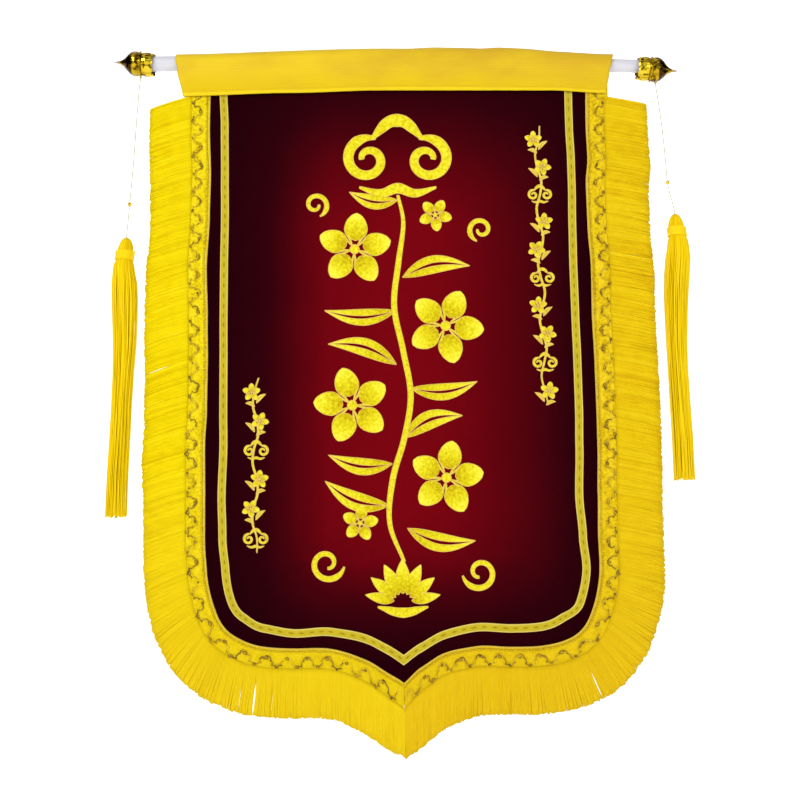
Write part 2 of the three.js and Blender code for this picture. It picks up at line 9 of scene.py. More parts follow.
import bpy
import numpy as np
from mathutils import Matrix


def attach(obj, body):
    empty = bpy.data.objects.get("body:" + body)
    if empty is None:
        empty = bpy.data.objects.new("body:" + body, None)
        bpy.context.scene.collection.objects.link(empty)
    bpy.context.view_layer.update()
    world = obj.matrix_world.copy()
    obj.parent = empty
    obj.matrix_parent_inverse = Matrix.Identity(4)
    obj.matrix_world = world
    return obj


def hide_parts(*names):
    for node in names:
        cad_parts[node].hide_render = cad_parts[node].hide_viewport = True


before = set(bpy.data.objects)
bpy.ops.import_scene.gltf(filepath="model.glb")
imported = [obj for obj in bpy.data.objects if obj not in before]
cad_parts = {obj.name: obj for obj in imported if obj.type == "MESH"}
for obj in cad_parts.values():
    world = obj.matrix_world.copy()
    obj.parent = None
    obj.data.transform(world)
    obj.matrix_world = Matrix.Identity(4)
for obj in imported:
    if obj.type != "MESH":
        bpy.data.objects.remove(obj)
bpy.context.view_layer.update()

MM = 0.001
FRONT = (0.0, -1.0, 0.0)

# Camera, in metres
CAMERA_AT = (0.0057, -1.2676, -0.5847)
CAMERA_LENS = 49.5
CAMERA_LOOKS_UP = 7.5  # degrees

# Rod
ROD_RADIUS = 9
ROD_HALF_LENGTH = 304
BOW_DROP = 9.9
BOW_LEVEL_AT = 330
ROD_TILT = 0.007
ROD_TAPER = {"from": -100, "to": 290, "radius": 7.7}  # it thins towards the right, from below

# Finials
# Where the rim of each is, how far it hangs below the rod's axis and turns up from it, in degrees, and where
# its lug is, out from the rim
FINIAL_FIT = {
    "left": {"rim": -291.5, "drop": 1.6, "turn": 5.2, "lug": 15},
    "right": {"rim": 292.4, "drop": 1.55, "turn": -2.8, "lug": 23},
}
PETALS = 8
SPIKE_END = 49.5
SPIKE_FROM = 42.5
SOCKET_RADIUS = 11.5
SOCKET_DEPTH = 14.4
FINIAL_PROFILE = {
    "along": [0, 1.6, 5, 9, 12.6, 14.4, 14.9, 15, 17, 17.1, 17.6, 21, 25, 28.5, 31.5, 34.5, 37, 39.5, 42, 46,
              49.5],
    "radius": [12.4, 12.9, 13.4, 13.8, 13.5, 13.2, 13.1, 15, 15, 13.4, 13.6, 14.5, 14.3, 12.8, 10.4, 7.3, 4.8,
               3, 1.9, 1.1, 0.3],
    "lobe": [0.4, 0.8, 1, 0.8, 0.4] + 16 * [0],
}
BEADED_RING = {"at": 16, "width": 0.9, "height": 0.35, "groove": 0.3}
BULB_PETALS = {"at": 22.5, "width": 5, "height": 0.55}
LUG = {"top": 12.5, "reach": 18.2}
EYE = {"radius": 1.1, "wire": 0.5}
# The painted dark reflection band on the gold: how far out it is, its half width, its soft edge and how far
# it strays
PAINTED_DARK_BAND = {"out": 325.5, "half_width": 5.4, "edge": 1.5, "stray": 8}

# Cloth
VELVET = 1.6
SATIN = 1.2
BRAID = 1.8
LAYER_GAP = 0.5
CLOTH_CLEARANCE = 0.5
PANEL_TOP = 24
PANEL_HALF_WIDTH = 225
PANEL_LAP = 20
CORNER_DOWN = 583
FLAT_ACROSS = 118
FLAT_DOWN = 699
TIP_DOWN = 738
CLOTH_SHIFT = 1.3
LEAN = 0.0125
TRIM_TOP = 30
SWAY = {"waves": 3.6, "swell": 1.6, "pucker": 0.3}

UNEVEN = {
    "left": {
        "along": [0, 60, 120, 170, 230, 290, 340, 400, 440, 500, 545, 585, 625, 665, 700, 740, 780, 820, 845,
                  868],
        "stray": [-1.1, -0.6, -2.5, -1.6, 1.3, -0.4, -1.1, -0.7, 1.1, 0.2, -0.1, -1.7, -3, -0.5, 1.3, 1.2,
                  -1.1, 0.1, 1.7, 0.5],
        "fringe": [0.99, 0.99, 0.99, 0.95, 0.985, 1.03, 1.015, 1.005, 1.005, 0.975, 0.955, 0.985, 1.03, 1.03,
                   1.03, 1.02, 1.03, 1.1, 1.1, 1],
        "inset": [15.9, 18.3, 19, 19.5, 19, 18.9, 19.3, 19.5, 20.1, 18.6, 20, 22.8, 23.2, 22.9, 18.6, 15.3,
                  19.5, 21.3, 20.1, 19.5],
    },
    "right": {
        "along": [0, 60, 95, 130, 180, 230, 290, 340, 400, 440, 500, 545, 585, 625, 665, 700, 740, 780, 815,
                  845, 868],
        "stray": [2.6, 1.3, 2, -1.1, -0.8, 1.3, 0.4, 1.3, 1.4, 1.1, -0.6, -1.8, -0.6, -1.6, 0.8, 0.5, -0.3,
                  -3.6, -5.3, -2.7, 0.5],
        "fringe": [0.96, 1, 1.01, 1, 0.99, 1, 1, 1, 1, 1, 1, 1.01, 1.01, 1.01, 1, 0.98, 0.98, 1.03, 1.12,
                   1.17, 1.05],
        "inset": [18.2, 18.6, 17.6, 17.7, 18.7, 19.1, 18.9, 18.4, 18.5, 19.5, 21.6, 19, 15.2, 16.7, 22.5,
                  20.4, 20.6, 24.1, 23.9, 21, 19.5],
    },
}
BRAID_WIDTH = 27
HALVES_GAP = 0.2  # how far from the middle each half of the braid ends at the tip

# Fringe
FRINGE_TOP = 50
LOCK_PITCH = 8.6
LOCK_LENGTH = 49
LOCK_ROOT = 2.2
LOCK_SHORTEST = 0.985
LOCK_SPLAY = 3
LOCK_LIFT = 1.6
DROOP = {"left": 19, "right": 12}
FIRST_SEED = {"left": 0, "right": 200}
STRAND_PITCH = 0.56
STRAND_SECTIONS = [-0.05, 0.04, 0.14, 0.35, 0.6, 0.83, 1.0]
STRAND_LAYER = 0.42  # how far the two layers of strands lie from their middle
# Where the fringe has come apart: along its edge from the top, and how wide
PARTINGS = {"left": [(342, 1.3), (688, 0.8), (700, 2.2), (716, 0.9)], "right": [(211, 0.9), (668, 1.1)]}

# Sleeve
SLEEVE_SHIFT = -1
# How far each end is from the sleeve's middle, at a distance below the rod's axis
SLEEVE_ENDS = {"down": [-10, 0, 12, 43], "left": [263, 263, 260.5, 254.5], "right": [264, 261, 258, 254.5]}
SLEEVE_FRONT_DOWN = 43
SLEEVE_BACK_DOWN = 41
PUFF = {"front": 2.4, "back": 1}
HEM = {"x": [-256, -127, -18, 187, 254], "down": [50, 46, 42.8, 42.8, 46.2]}
WRINKLES = {"gather": 0.22, "soft": 0.3, "pull": 0.35, "fold": 0.35}
TURN_UP = 3.6  # how much of the front tail's edge is turned up
HEM_SEAM = 4.4
HEM_STITCH = {"length": 2.3, "gap": 0.9, "radius": 0.22}
BACK_STITCH = {"length": 2.6, "gap": 0.9, "radius": 0.24}
# How far the top of the sleeve stands up off the rod
CREST = {"x": [-139, 10, 54, 100, 128, 152, 200, 264], "raise": [0, 0.6, 3, 3.6, 6, 6.2, 4.5, 3.5]}

# Tassels, and how far the middle of each strays sideways
TASSELS = {
    "left": {"x": -318.4, "down": 224, "length": 331, "seed": 41},
    "right": {"x": 332.6, "down": 195, "length": 317, "seed": 57},
}
WANDER = {
    "down": [0, 37, 60, 85, 125, 170, 220, 285, 331],
    "left": [0, -2, -0.5, 1, 2, 1.3, 0.2, -1.2, -1.4],
    "right": [0, 2.2, 1.2, -1.8, -2.9, -3.4, -1.6, 0.2, 0.6],
}
HEAD_PROFILE = {"down": [0, 3, 9, 15, 16, 27, 28, 34], "radius": [2.2, 5.6, 8.2, 9.6, 10, 10.4, 10.4, 12.4]}
SKIRT_PROFILE = {"at": [0, 0.11, 0.55, 1], "radius": [12.2, 14.5, 11.2, 11.7]}
SKIRT_START = 29
HEAD_TO_SKIRT = (31, 40)  # where the head's shape gives way to the skirt's
# Where the binding presses the strands in and where they come out again, and by how much
PRESSED = {"in": (13, 16), "out": (27, 30), "by": 0.7}
STRAND_DOWNS = [0, 2, 5, 9, 13, 16, 22, 28, 33, 40, 55, 75, 100, 130, 165, 200, 240, 280, 310, 331]
STRAND_SHARES = np.array(STRAND_DOWNS) / STRAND_DOWNS[-1]
STRANDS_IN_BUNCH = 5
TASSEL_LAYERS = [
    # strands, share of the tassel's radius, where they start, thickness, sections, raggedness
    (96, 0.95, 0.6, 0.62, STRAND_SHARES, 0.012),
    (60, 0.72, 26, 0.7, np.linspace(0, 1, 12), 0.02),
    (30, 0.42, 26, 0.8, np.linspace(0, 1, 10), 0.03),
]
CORE_PROFILE = {
    "down": [0.4, 3, 9, 15, 27, 34, 60, 150, 250],
    "radius": [1.2, 4.4, 7, 8.4, 9.2, 10.6, 10.6, 8, 6.6, 6.4],
}
CORE_SHORTER = 14
BAND = {"top": 16.4, "turns": 8, "pitch": 1.35, "radius": 10.6, "swell": 0.25, "yarn": 0.72}

# The threads' routes, as x and down in the plane y = 0
ROUTES = {
    "left": [
        (-308, 26.5), (-309.1, 40), (-309.9, 55), (-310.6, 70), (-311.2, 85), (-311.8, 100), (-312.4, 115),
        (-313, 130), (-313.8, 145), (-314.6, 159), (-315.4, 172), (-316, 183), (-316.6, 193), (-317.2, 203),
        (-317.9, 213), (-318.4, 223.7),
    ],
    "right": [
        (314.1, 33.4), (315.4, 43), (316.8, 54), (318.1, 65), (319.3, 76.5), (320.4, 88), (321.4, 100),
        (322.2, 111), (323, 122), (323.6, 134), (324.1, 145), (324.9, 156), (326.8, 167), (329.2, 178),
        (331.3, 187), (332.6, 194.7),
    ],
}
PLY = {"radius": 0.27, "off": 0.24, "pitch": 3.2}
BEAD_DOWN = {"left": 183, "right": 156}
BEAD = {"radius": 2.4, "half_length": 2, "hole": 0.5, "cut": 0.035}
LOOP = {"width": 1.5, "height": 1.6, "radius": 0.34}

SIDES = ("left", "right")
SIGN = {"left": -1, "right": 1}

# How finely things are divided: steps in millimetres, and numbers of points
RIBBON_STEP = 0.9
BRAID_STEP = 0.75
EDGING_STEP = 0.65
SCROLL_POINTS = 48  # for each wave
FINIAL_RINGS = 84
FINIAL_AROUND = 112
PANEL_COLUMNS = 109
PANEL_ROWS = 141
SLEEVE_COLUMNS = 191
SLEEVE_TURN_ROWS = 34
SLEEVE_TAIL_ROWS = 24


# Numbers

def rng(seed):
    return np.random.default_rng(seed)


def jitter(n):
    """The part's own repeatable numbers from -0.5 to 0.5."""
    wave = np.sin(np.asarray(n, float) * 12.9898 + 4.1) * 43758.5453
    return wave - np.floor(wave) - 0.5


def smoothstep(x, low, high):
    t = np.clip((np.asarray(x, float) - low) / (high - low), 0, 1)
    return t * t * (3 - 2 * t)


def table_at(table, key, at, column):
    """The value of a table's column at places between its rows, eased from row to row."""
    keys, values = np.asarray(table[key], float), np.asarray(table[column], float)
    at = np.asarray(at, float)
    row = np.clip(np.searchsorted(keys, at, side="right") - 1, 0, len(keys) - 2)
    t = np.clip((at - keys[row]) / (keys[row + 1] - keys[row]), 0, 1)
    return values[row] + (values[row + 1] - values[row]) * t * t * (3 - 2 * t)


def ripple(a, b, seed):
    """A smooth wavy field from about -1 to 1 over two coordinates in millimetres."""
    r = rng(seed)
    total = np.zeros(np.broadcast(a, b).shape)
    for _ in range(7):
        angle, length, phase = r.uniform(0, math.pi), r.uniform(0.6, 1.8), r.uniform(0, 2 * math.pi)
        total = total + np.sin((a * math.cos(angle) + b * math.sin(angle)) / length + phase)
    return total / 4


# The rod and the hanging cloth

def axis_height(x):
    x = np.asarray(x, float)
    return -BOW_DROP * (1 - np.cos(math.pi * x / BOW_LEVEL_AT)) / 2 - ROD_TILT * x


def sway(x, down):
    """How far the cloth hangs behind its plane: soft waves that grow downward, and small puckers."""
    depth = smoothstep(down, 50, TIP_DOWN)
    soft = SWAY["waves"] * np.sin(x / 66 + 0.9) + SWAY["swell"] * np.sin(x / 120 + down / 130)
    pucker = SWAY["pucker"] * ripple(x / 17, down / 23, 5) * smoothstep(down, 40, 90)
    return depth * soft + pucker


def hang(across, down, layer):
    """Points of the hanging cloth; layer is their distance behind the middle of the velvet."""
    across, down, layer = np.broadcast_arrays(across, down, layer)
    x = across + CLOTH_SHIFT + LEAN * np.maximum(0, down - PANEL_TOP)
    return np.stack([x, layer + sway(x, down), -down], axis=-1)


def laid(side, flat, layer):
    """Hangs points given as across and down on one side of the cloth."""
    return hang(SIGN[side] * flat[..., 0], flat[..., 1], layer)


def circle(count):
    return np.linspace(0, 2 * math.pi, count, endpoint=False)


def wound(turn, radius, height, x=0):
    """Points at an angle, a radius and a height round an upright axis."""
    return np.stack(np.broadcast_arrays(x + radius * np.cos(turn), radius * np.sin(turn), height), axis=-1)


def unit(vectors):
    return vectors / np.maximum(np.linalg.norm(vectors, axis=-1, keepdims=True), 1e-9)


def bezier(a, b, c, d, count=400):
    t = np.linspace(0, 1, count)[1:, None]
    a, b, c, d = (np.asarray(p, float) for p in (a, b, c, d))
    return (1 - t) ** 3 * a + 3 * (1 - t) ** 2 * t * b + 3 * (1 - t) * t ** 2 * c + t ** 3 * d


def lengths(points):
    return np.concatenate([[0], np.cumsum(np.linalg.norm(np.diff(points, axis=0), axis=1))])


SIDE_POINTS = np.stack([np.full(200, PANEL_HALF_WIDTH), np.linspace(TRIM_TOP, CORNER_DOWN, 200)], axis=1)
CORNER_POINTS = bezier(
    (PANEL_HALF_WIDTH, CORNER_DOWN), (PANEL_HALF_WIDTH, CORNER_DOWN + 95),
    (FLAT_ACROSS + 85, FLAT_DOWN), (FLAT_ACROSS, FLAT_DOWN),
)
SWEEP_POINTS = bezier(
    (FLAT_ACROSS, FLAT_DOWN), (FLAT_ACROSS - 60, FLAT_DOWN),
    (24, TIP_DOWN - 18), (0, TIP_DOWN),
)
EDGE = np.concatenate([SIDE_POINTS, CORNER_POINTS, SWEEP_POINTS])
EDGE_ALONG = lengths(EDGE)
EDGE_TANGENT = np.gradient(EDGE, EDGE_ALONG, axis=0)
EDGE_LENGTH = EDGE_ALONG[-1]
CORNER_END = EDGE_ALONG[len(SIDE_POINTS) + len(CORNER_POINTS) - 1]


def rib(along):
    """Points of the even edge, the way out across the trim, and the stretch that keeps the trim's width."""
    point = np.stack([np.interp(along, EDGE_ALONG, EDGE[:, i]) for i in (0, 1)], axis=-1)
    tangent = unit(np.stack([np.interp(along, EDGE_ALONG, EDGE_TANGENT[:, i]) for i in (0, 1)], axis=-1))
    normal = np.stack([tangent[..., 1], -tangent[..., 0]], axis=-1)
    straight = (np.asarray(along) >= CORNER_END)[..., None]
    out = np.where(straight, np.array([0.0, 1.0]), normal)
    return point, out, 1 / (out * normal).sum(axis=-1)


def offset_point(along, offset):
    point, out, stretch = rib(along)
    return point + out * (np.asarray(offset) * stretch)[..., None]


def edge_point(side, along, offset):
    return offset_point(along, offset + table_at(UNEVEN[side], "along", along, "stray"))


# Geometry: each maker returns a part of a mesh, as its vertices, their tone, and sets of faces with a finish

def patch(vertices, face_sets, finish=0, tone=0.5):
    vertices = np.asarray(vertices, float).reshape(-1, 3)
    tone = np.broadcast_to(np.asarray(tone, float).reshape(-1), len(vertices))
    return {"vertices": vertices, "tone": tone, "faces": [(np.asarray(f, int), finish) for f in face_sets]}


def refinish(part, chosen, finish):
    """Gives another finish to the chosen faces of a part's first set."""
    faces, old = part["faces"][0]
    part["faces"][:1] = [(faces[~chosen], old), (faces[chosen], finish)]
    return part


def grid(points, finish=0, tone=0.5, closed=(False, False)):
    """A net of quads over rows and columns of points; closed joins the last row or column to the first."""
    points = np.asarray(points, float)
    rows, columns = points.shape[:2]
    number = np.arange(rows * columns).reshape(rows, columns)
    if closed[0]:
        number = np.concatenate([number, number[:1]])
    if closed[1]:
        number = np.concatenate([number, number[:, :1]], axis=1)
    quads = np.stack([number[:-1, :-1], number[1:, :-1], number[1:, 1:], number[:-1, 1:]], axis=-1)
    return patch(points, [quads.reshape(-1, 4)], finish, tone)


def tubes(lines, radius, sides=6, flat=1.0, finish=0, tone=0.5, facing=FRONT):
    """Round tubes with closed ends, along lines of equally many points. flat squashes them towards facing."""
    lines = np.asarray(lines, float)
    lines = lines[None] if lines.ndim == 2 else lines
    count, length = lines.shape[:2]
    tangent = unit(np.gradient(lines, axis=1))
    across = unit(np.cross(tangent, np.asarray(facing, float)))
    up = np.cross(across, tangent)
    angle = 2 * math.pi * (np.arange(sides) + 0.5) / sides
    radius = np.broadcast_to(radius, (count, length))[..., None, None]
    ring = np.cos(angle)[:, None] * across[:, :, None] + flat * np.sin(angle)[:, None] * up[:, :, None]
    points = lines[:, :, None] + radius * ring
    number = np.arange(count * length * sides).reshape(count, length, sides)
    turned = np.roll(number, -1, axis=2)
    quads = np.stack([number[:, :-1], number[:, 1:], turned[:, 1:], turned[:, :-1]], axis=-1)
    caps = np.concatenate([number[:, 0], number[:, -1, ::-1]])
    tone = np.asarray(tone, float)
    if tone.size > 1:
        tone = np.broadcast_to(tone.reshape(count, -1, 1), (count, length, sides))
    return patch(points, [quads.reshape(-1, 4), caps], finish, tone)


def loft(sections):
    """A closed mesh through a row of loops. Each end closes as a ladder."""
    sections = np.asarray(sections, float)
    rows, n = sections.shape[:2]
    body = grid(sections, closed=(False, True))
    half = np.arange(n // 2 - 1)
    first = np.stack([half, half + 1, n - 2 - half, n - 1 - half], axis=-1)
    last = (first + (rows - 1) * n)[:, ::-1]
    body["faces"] += [(first, 0), (last, 0)]
    return body


def strip(points, tone=0.5):
    """A band round a row of loops, with each end closed by one face."""
    body = grid(points, tone=tone, closed=(False, True))
    first = np.arange(points.shape[1])
    last = first + (len(points) - 1) * len(first)
    body["faces"].append((np.stack([first, last[::-1]]), 0))
    return body


def spun(profile, around, tone=0.5):
    """A net round the Z axis: rows of radius and height, given for each angle or for all."""
    return grid(wound(around, *profile), tone=tone, closed=(False, True))


def moved(part, shift):
    part["vertices"] = part["vertices"] + np.asarray(shift, float)
    return part


def piece(name, parts, finishes, maps=None):
    """Makes one object of several parts of mesh, in metres, and rides it on the body."""
    start, face_sets, wears = 0, [], []
    for part in parts:
        for faces, finish in part["faces"]:
            face_sets.append(faces + start)
            wears.append(np.full(len(faces), finish))
        start += len(part["vertices"])
    vertices = np.concatenate([part["vertices"] for part in parts]) * MM
    tone = np.concatenate([part["tone"] for part in parts])
    loops = np.concatenate([f.ravel() for f in face_sets])
    sizes = np.concatenate([np.full(len(f), f.shape[1]) for f in face_sets])
    mesh = bpy.data.meshes.new(name)
    mesh.vertices.add(len(vertices))
    mesh.vertices.foreach_set("co", vertices.ravel())
    mesh.loops.add(len(loops))
    mesh.loops.foreach_set("vertex_index", loops)
    mesh.polygons.add(len(sizes))
    mesh.polygons.foreach_set("loop_start", np.concatenate([[0], np.cumsum(sizes)[:-1]]))
    mesh.polygons.foreach_set("material_index", np.concatenate(wears))
    mesh.polygons.foreach_set("use_smooth", np.ones(len(sizes), bool))
    mesh.attributes.new("tone", "FLOAT", "POINT").data.foreach_set("value", tone)
    if maps is not None:
        layer = mesh.uv_layers.new(name="UVMap")
        layer.data.foreach_set("uv", np.asarray(maps, float)[loops].ravel())
    for finish in finishes:
        mesh.materials.append(finish)
    mesh.update(calc_edges=True)
    mesh.validate()
    made = bpy.data.objects.new(name, mesh)
    bpy.context.scene.collection.objects.link(made)
    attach(made, "root")
    return made


# Finishes. Colours of three numbers go from 0 to 255, and those of four are linear.

def linear(value):
    """Makes a colour of three numbers linear and leaves every other value as it is."""
    if not isinstance(value, tuple) or len(value) != 3:
        return value
    return (*((c / 255 / 12.92 if c <= 10 else ((c / 255 + 0.055) / 1.055) ** 2.4) for c in value), 1.0)


class Nodes:
    """Short ways to add nodes to a tree."""

    def __init__(self, tree):
        self.tree = tree

    def node(self, kind, inputs=None, **settings):
        node = self.tree.nodes.new("ShaderNode" + kind)
        for key, value in settings.items():
            setattr(node, key, value)
        for key, value in (inputs or {}).items():
            if isinstance(value, bpy.types.NodeSocket):
                self.tree.links.new(value, node.inputs[key])
            else:
                node.inputs[key].default_value = value
        return node

    def place(self, scale=(1, 1, 1)):
        coordinates = self.node("TexCoord").outputs["Object"]
        return self.node("Mapping", {"Vector": coordinates, "Scale": scale}).outputs[0]

    def axes(self):
        """The place on the object in metres, as separate X, Y and Z."""
        return self.node("SeparateXYZ", {"Vector": self.node("TexCoord").outputs["Object"]}).outputs

    def noise(self, vector, scale, detail=3.0, roughness=0.5):
        inputs = {"Vector": vector, "Scale": scale, "Detail": detail, "Roughness": roughness}
        return self.node("TexNoise", inputs).outputs["Fac"]

    def wave(self, vector, scale, axis="X", distortion=0.0):
        inputs = {"Vector": vector, "Scale": scale, "Distortion": distortion}
        return self.node("TexWave", inputs, bands_direction=axis).outputs["Fac"]

    def tone(self):
        return self.node("Attribute", attribute_name="tone").outputs["Fac"]

    def ramp(self, factor, stops):
        node = self.node("ValToRGB", {"Fac": factor})
        elements = node.color_ramp.elements
        while len(elements) < len(stops):
            elements.new(0.5)
        for element, (at, colour) in zip(elements, stops):
            element.position = at
            element.color = linear(colour)
        return node.outputs["Color"]

    def mix(self, factor, a, b):
        return self.node("Mix", {0: factor, 6: linear(a), 7: linear(b)}, data_type="RGBA").outputs[2]

    def math(self, operation, a, b=0.0, c=0.0):
        return self.node("Math", {0: a, 1: b, 2: c}, operation=operation).outputs[0]

    def times(self, a, b):
        return self.math("MULTIPLY", a, b)

    def plus(self, a, b):
        return self.math("ADD", a, b)

    def around_zero(self, factor, spread):
        """A factor from 0 to 1, moved to lie about zero and widened."""
        return self.times(self.math("SUBTRACT", factor, 0.5), spread)

    def part_way(self, value, start, end, top=1.0):
        """Goes from 0 to top as the value goes from start to end."""
        inputs = {"Value": value, "From Min": start, "From Max": end, "To Max": top}
        return self.node("MapRange", inputs).outputs[0]


class Finish(Nodes):
    """A material with one Principled shader."""

    def __init__(self, name, **sockets):
        self.material = bpy.data.materials.new(name)
        self.material.use_nodes = True
        super().__init__(self.material.node_tree)
        self.shader = self.tree.nodes["Principled BSDF"]
        for socket, value in sockets.items():
            self.shader.inputs[socket.replace("_", " ")].default_value = linear(value)

    def colour(self, socket):
        self.tree.links.new(socket, self.shader.inputs["Base Color"])

    def rough(self, factor, low, high):
        inputs = {"Value": factor, "To Min": low, "To Max": high}
        self.tree.links.new(self.node("MapRange", inputs).outputs[0], self.shader.inputs["Roughness"])

    def bump(self, height, distance, strength=1.0):
        inputs = {"Height": height, "Distance": distance, "Strength": strength}
        self.tree.links.new(self.node("Bump", inputs).outputs[0], self.shader.inputs["Normal"])


# The velvet's lit patch: how bright it is across its width from the left and up its height, in metres
GLOW = {
    "width": 0.48,
    "across": [0.05, 0.12, 0.19, 0.27, 0.34, 0.5, 0.61, 0.71, 0.76, 0.83, 0.9, 0.98],
    "across_lit": [0.03, 0.12, 0.28, 0.65, 0.9, 1, 0.95, 0.8, 0.68, 0.54, 0.3, 0.02],
    "height": 0.75,
    "up": [0.05, 0.12, 0.2, 0.27, 0.72, 0.77, 0.83, 0.91, 0.96],
    "up_lit": [0.05, 0.38, 0.88, 1, 1, 0.9, 0.72, 0.35, 0.2],
}


def velvet_finish():
    """Deep red that is lit in a tall patch at the middle and falls off to a purplish black at the trims."""
    f = Finish("velvet", Roughness=0.95, Sheen_Weight=0.12, Sheen_Roughness=0.5, Sheen_Tint=(110, 6, 20),
               Specular_IOR_Level=0.12, Specular_Tint=(150, 30, 50))
    at = f.axes()
    drift = f.around_zero(f.noise(f.place(), 16, 4), 0.03)
    across = f.plus(f.math("MULTIPLY_ADD", at["X"], 1 / GLOW["width"], 0.5), drift)
    up = f.plus(f.math("MULTIPLY_ADD", at["Z"], 1 / GLOW["height"], 1.0), drift)
    sides, ends = (
        f.ramp(way, [(share, (lit, lit, lit, 1)) for share, lit in zip(GLOW[key], GLOW[key + "_lit"])])
        for way, key in ((across, "across"), (up, "up"))
    )
    reds = [(29, 1, 8), (46, 2, 9), (70, 3, 11), (96, 4, 13), (122, 6, 16)]
    base = f.ramp(f.times(sides, ends), [(k / 4, red) for k, red in enumerate(reds)])
    pile = f.noise(f.place(), 1300, 2)
    f.colour(f.mix(f.times(pile, 0.4), base, (16, 0, 5)))
    f.bump(f.noise(f.place(), 900, 3, 0.7), 0.0005, 0.6)
    return f.material


def lining_finish():
    f = Finish("lining", Roughness=0.75, Sheen_Weight=0.1, Specular_IOR_Level=0.3)
    weave = f.times(f.wave(f.place(), 260, "X"), f.wave(f.place(), 260, "Z"))
    shade = f.mix(f.noise(f.place(), 9, 4), (62, 8, 18), (84, 12, 24))
    f.colour(f.mix(weave, shade, (100, 22, 34)))
    f.bump(weave, 0.0003, 0.5)
    return f.material


def satin_finish(name, left, right, low):
    """Satin that goes from one colour at the left to another at the right, and to a third towards its hem."""
    f = Finish(name, Roughness=0.45, Specular_IOR_Level=0.3, Specular_Tint=(250, 215, 90), Anisotropic=0.4)
    weave = f.plus(f.wave(f.place(), 340, "X", 0.3), f.wave(f.place(), 90, "Z", 0.5))
    cloud = f.noise(f.place(scale=(1, 1, 2.2)), 15, 3)
    at = f.axes()
    tinge = f.plus(f.math("MULTIPLY_ADD", at["X"], 1.25, 0.5), f.around_zero(cloud, 1.9))
    hem = f.part_way(f.plus(f.around_zero(cloud, 0.02), at["Z"]), -0.018, -0.044)
    shade = f.mix(f.times(hem, 0.85), f.ramp(tinge, [(0.15, left), (0.85, right)]), low)
    f.colour(f.mix(f.times(weave, 0.05), shade, (240, 210, 80)))
    f.rough(cloud, 0.38, 0.52)
    f.bump(weave, 0.00012, 0.45)
    return f.material


def yarn_finish(name, dark, middle, light, low=None, roughness=0.5, mottle=0.4, scale=(1, 1, 1)):
    """Yarn shaded by its tone and by blotches. low is a colour that it takes on towards the banner's foot."""
    f = Finish(name, Roughness=roughness, Specular_IOR_Level=0.3, Specular_Tint=light)
    fibre = f.noise(f.place(scale=scale), 700, 3)
    streak = f.noise(f.place(scale=scale), 90 if mottle < 1 else 330, 2)
    factor = f.plus(f.tone(), f.around_zero(streak, mottle))
    shade = f.ramp(factor, [(0.0, dark), (0.5, middle), (1.0, light)])
    if low:
        shade = f.mix(f.part_way(f.axes()["Z"], -0.48, -0.74, 0.75), shade, low)
    f.colour(shade)
    f.rough(fibre, roughness - 0.08, roughness + 0.14)
    f.bump(fibre, 0.00025, 0.6)
    return f.material


def metallic_yarn_finish():
    f = Finish("metallic_gimp", Metallic=0.4, Roughness=0.38)
    wrap = f.noise(f.place(), 520, 2)
    factor = f.plus(f.tone(), f.around_zero(wrap, 1.3))
    f.colour(f.ramp(factor, [(0.1, (88, 56, 10)), (0.36, (140, 100, 14)), (0.58, (190, 152, 18)),
                             (0.85, (228, 196, 30))]))
    f.rough(wrap, 0.28, 0.55)
    f.bump(wrap, 0.0003, 0.8)
    return f.material


def ribbon_finish():
    """The ribbon's woven middle. Its map runs along the ribbon in u and across it in v, in centimetres."""
    f = Finish("ribbon_weave", Roughness=0.5, Specular_IOR_Level=0.3, Specular_Tint=(240, 220, 110))
    uv = f.node("UVMap", uv_map="UVMap").outputs["UV"]
    parts = f.node("SeparateXYZ", {"Vector": uv})
    u, v = parts.outputs["X"], parts.outputs["Y"]
    lozenge = f.math("PINGPONG", f.plus(u, f.times(f.noise(f.place(), 25), 1.2)), 0.6)
    width = f.times(f.math("SUBTRACT", lozenge, 0.2), 0.32)
    inside = f.math("LESS_THAN", f.math("ABSOLUTE", v), width)
    picks = f.wave(uv, 3.2, "X", 0.4)
    worn = f.noise(f.place(), 60, 3)
    base = f.mix(worn, (170, 150, 12), (198, 177, 26))
    woven = f.mix(f.times(picks, 0.3), base, (206, 188, 70))
    f.colour(f.mix(f.times(inside, 0.6), woven, (122, 100, 8)))
    f.bump(picks, 0.0002, 0.6)
    return f.material


def gold_finish(name, painted_reflections):
    """Plated gold. It can carry painted dark reflections: blotches, and a band before the spike."""
    f = Finish(name, Metallic=1.0, Roughness=0.1)
    cloud = f.noise(f.place(), 60, 3)
    scuff = f.noise(f.place(scale=(1, 1, 4)), 240, 4)
    # The tone ramp turns the finial's relief tone into painted shade and painted highlight
    base = f.ramp(f.tone(), [(0.0, (62, 40, 8)), (0.5, (214, 186, 34)), (1.0, (244, 226, 90))])
    bright = f.mix(f.times(cloud, 0.4), base, (206, 150, 24))
    f.rough(scuff, 0.05, 0.18)
    if not painted_reflections:
        f.colour(bright)
        return f.material
    # Painted dark reflections: noise blotches and a band before the spike, mixed in as dark brown
    painted_dark_spots = f.part_way(f.noise(f.place(), 150, 1), 0.56, 0.62)
    across = f.axes()["X"]
    wavy = f.plus(f.math("ABSOLUTE", across), f.times(f.noise(f.place(), 90, 1), PAINTED_DARK_BAND["stray"] * MM))
    away = f.math("ABSOLUTE", f.math("SUBTRACT", wavy, PAINTED_DARK_BAND["out"] * MM))
    edge = PAINTED_DARK_BAND["half_width"] * MM
    painted_dark_band = f.part_way(away, edge, edge - PAINTED_DARK_BAND["edge"] * MM)
    dark = f.math("MAXIMUM", f.times(painted_dark_spots, 0.85), f.times(painted_dark_band, 0.95))
    f.colour(f.mix(dark, bright, (58, 30, 8)))
    f.bump(cloud, 0.0002, 0.2)
    return f.material


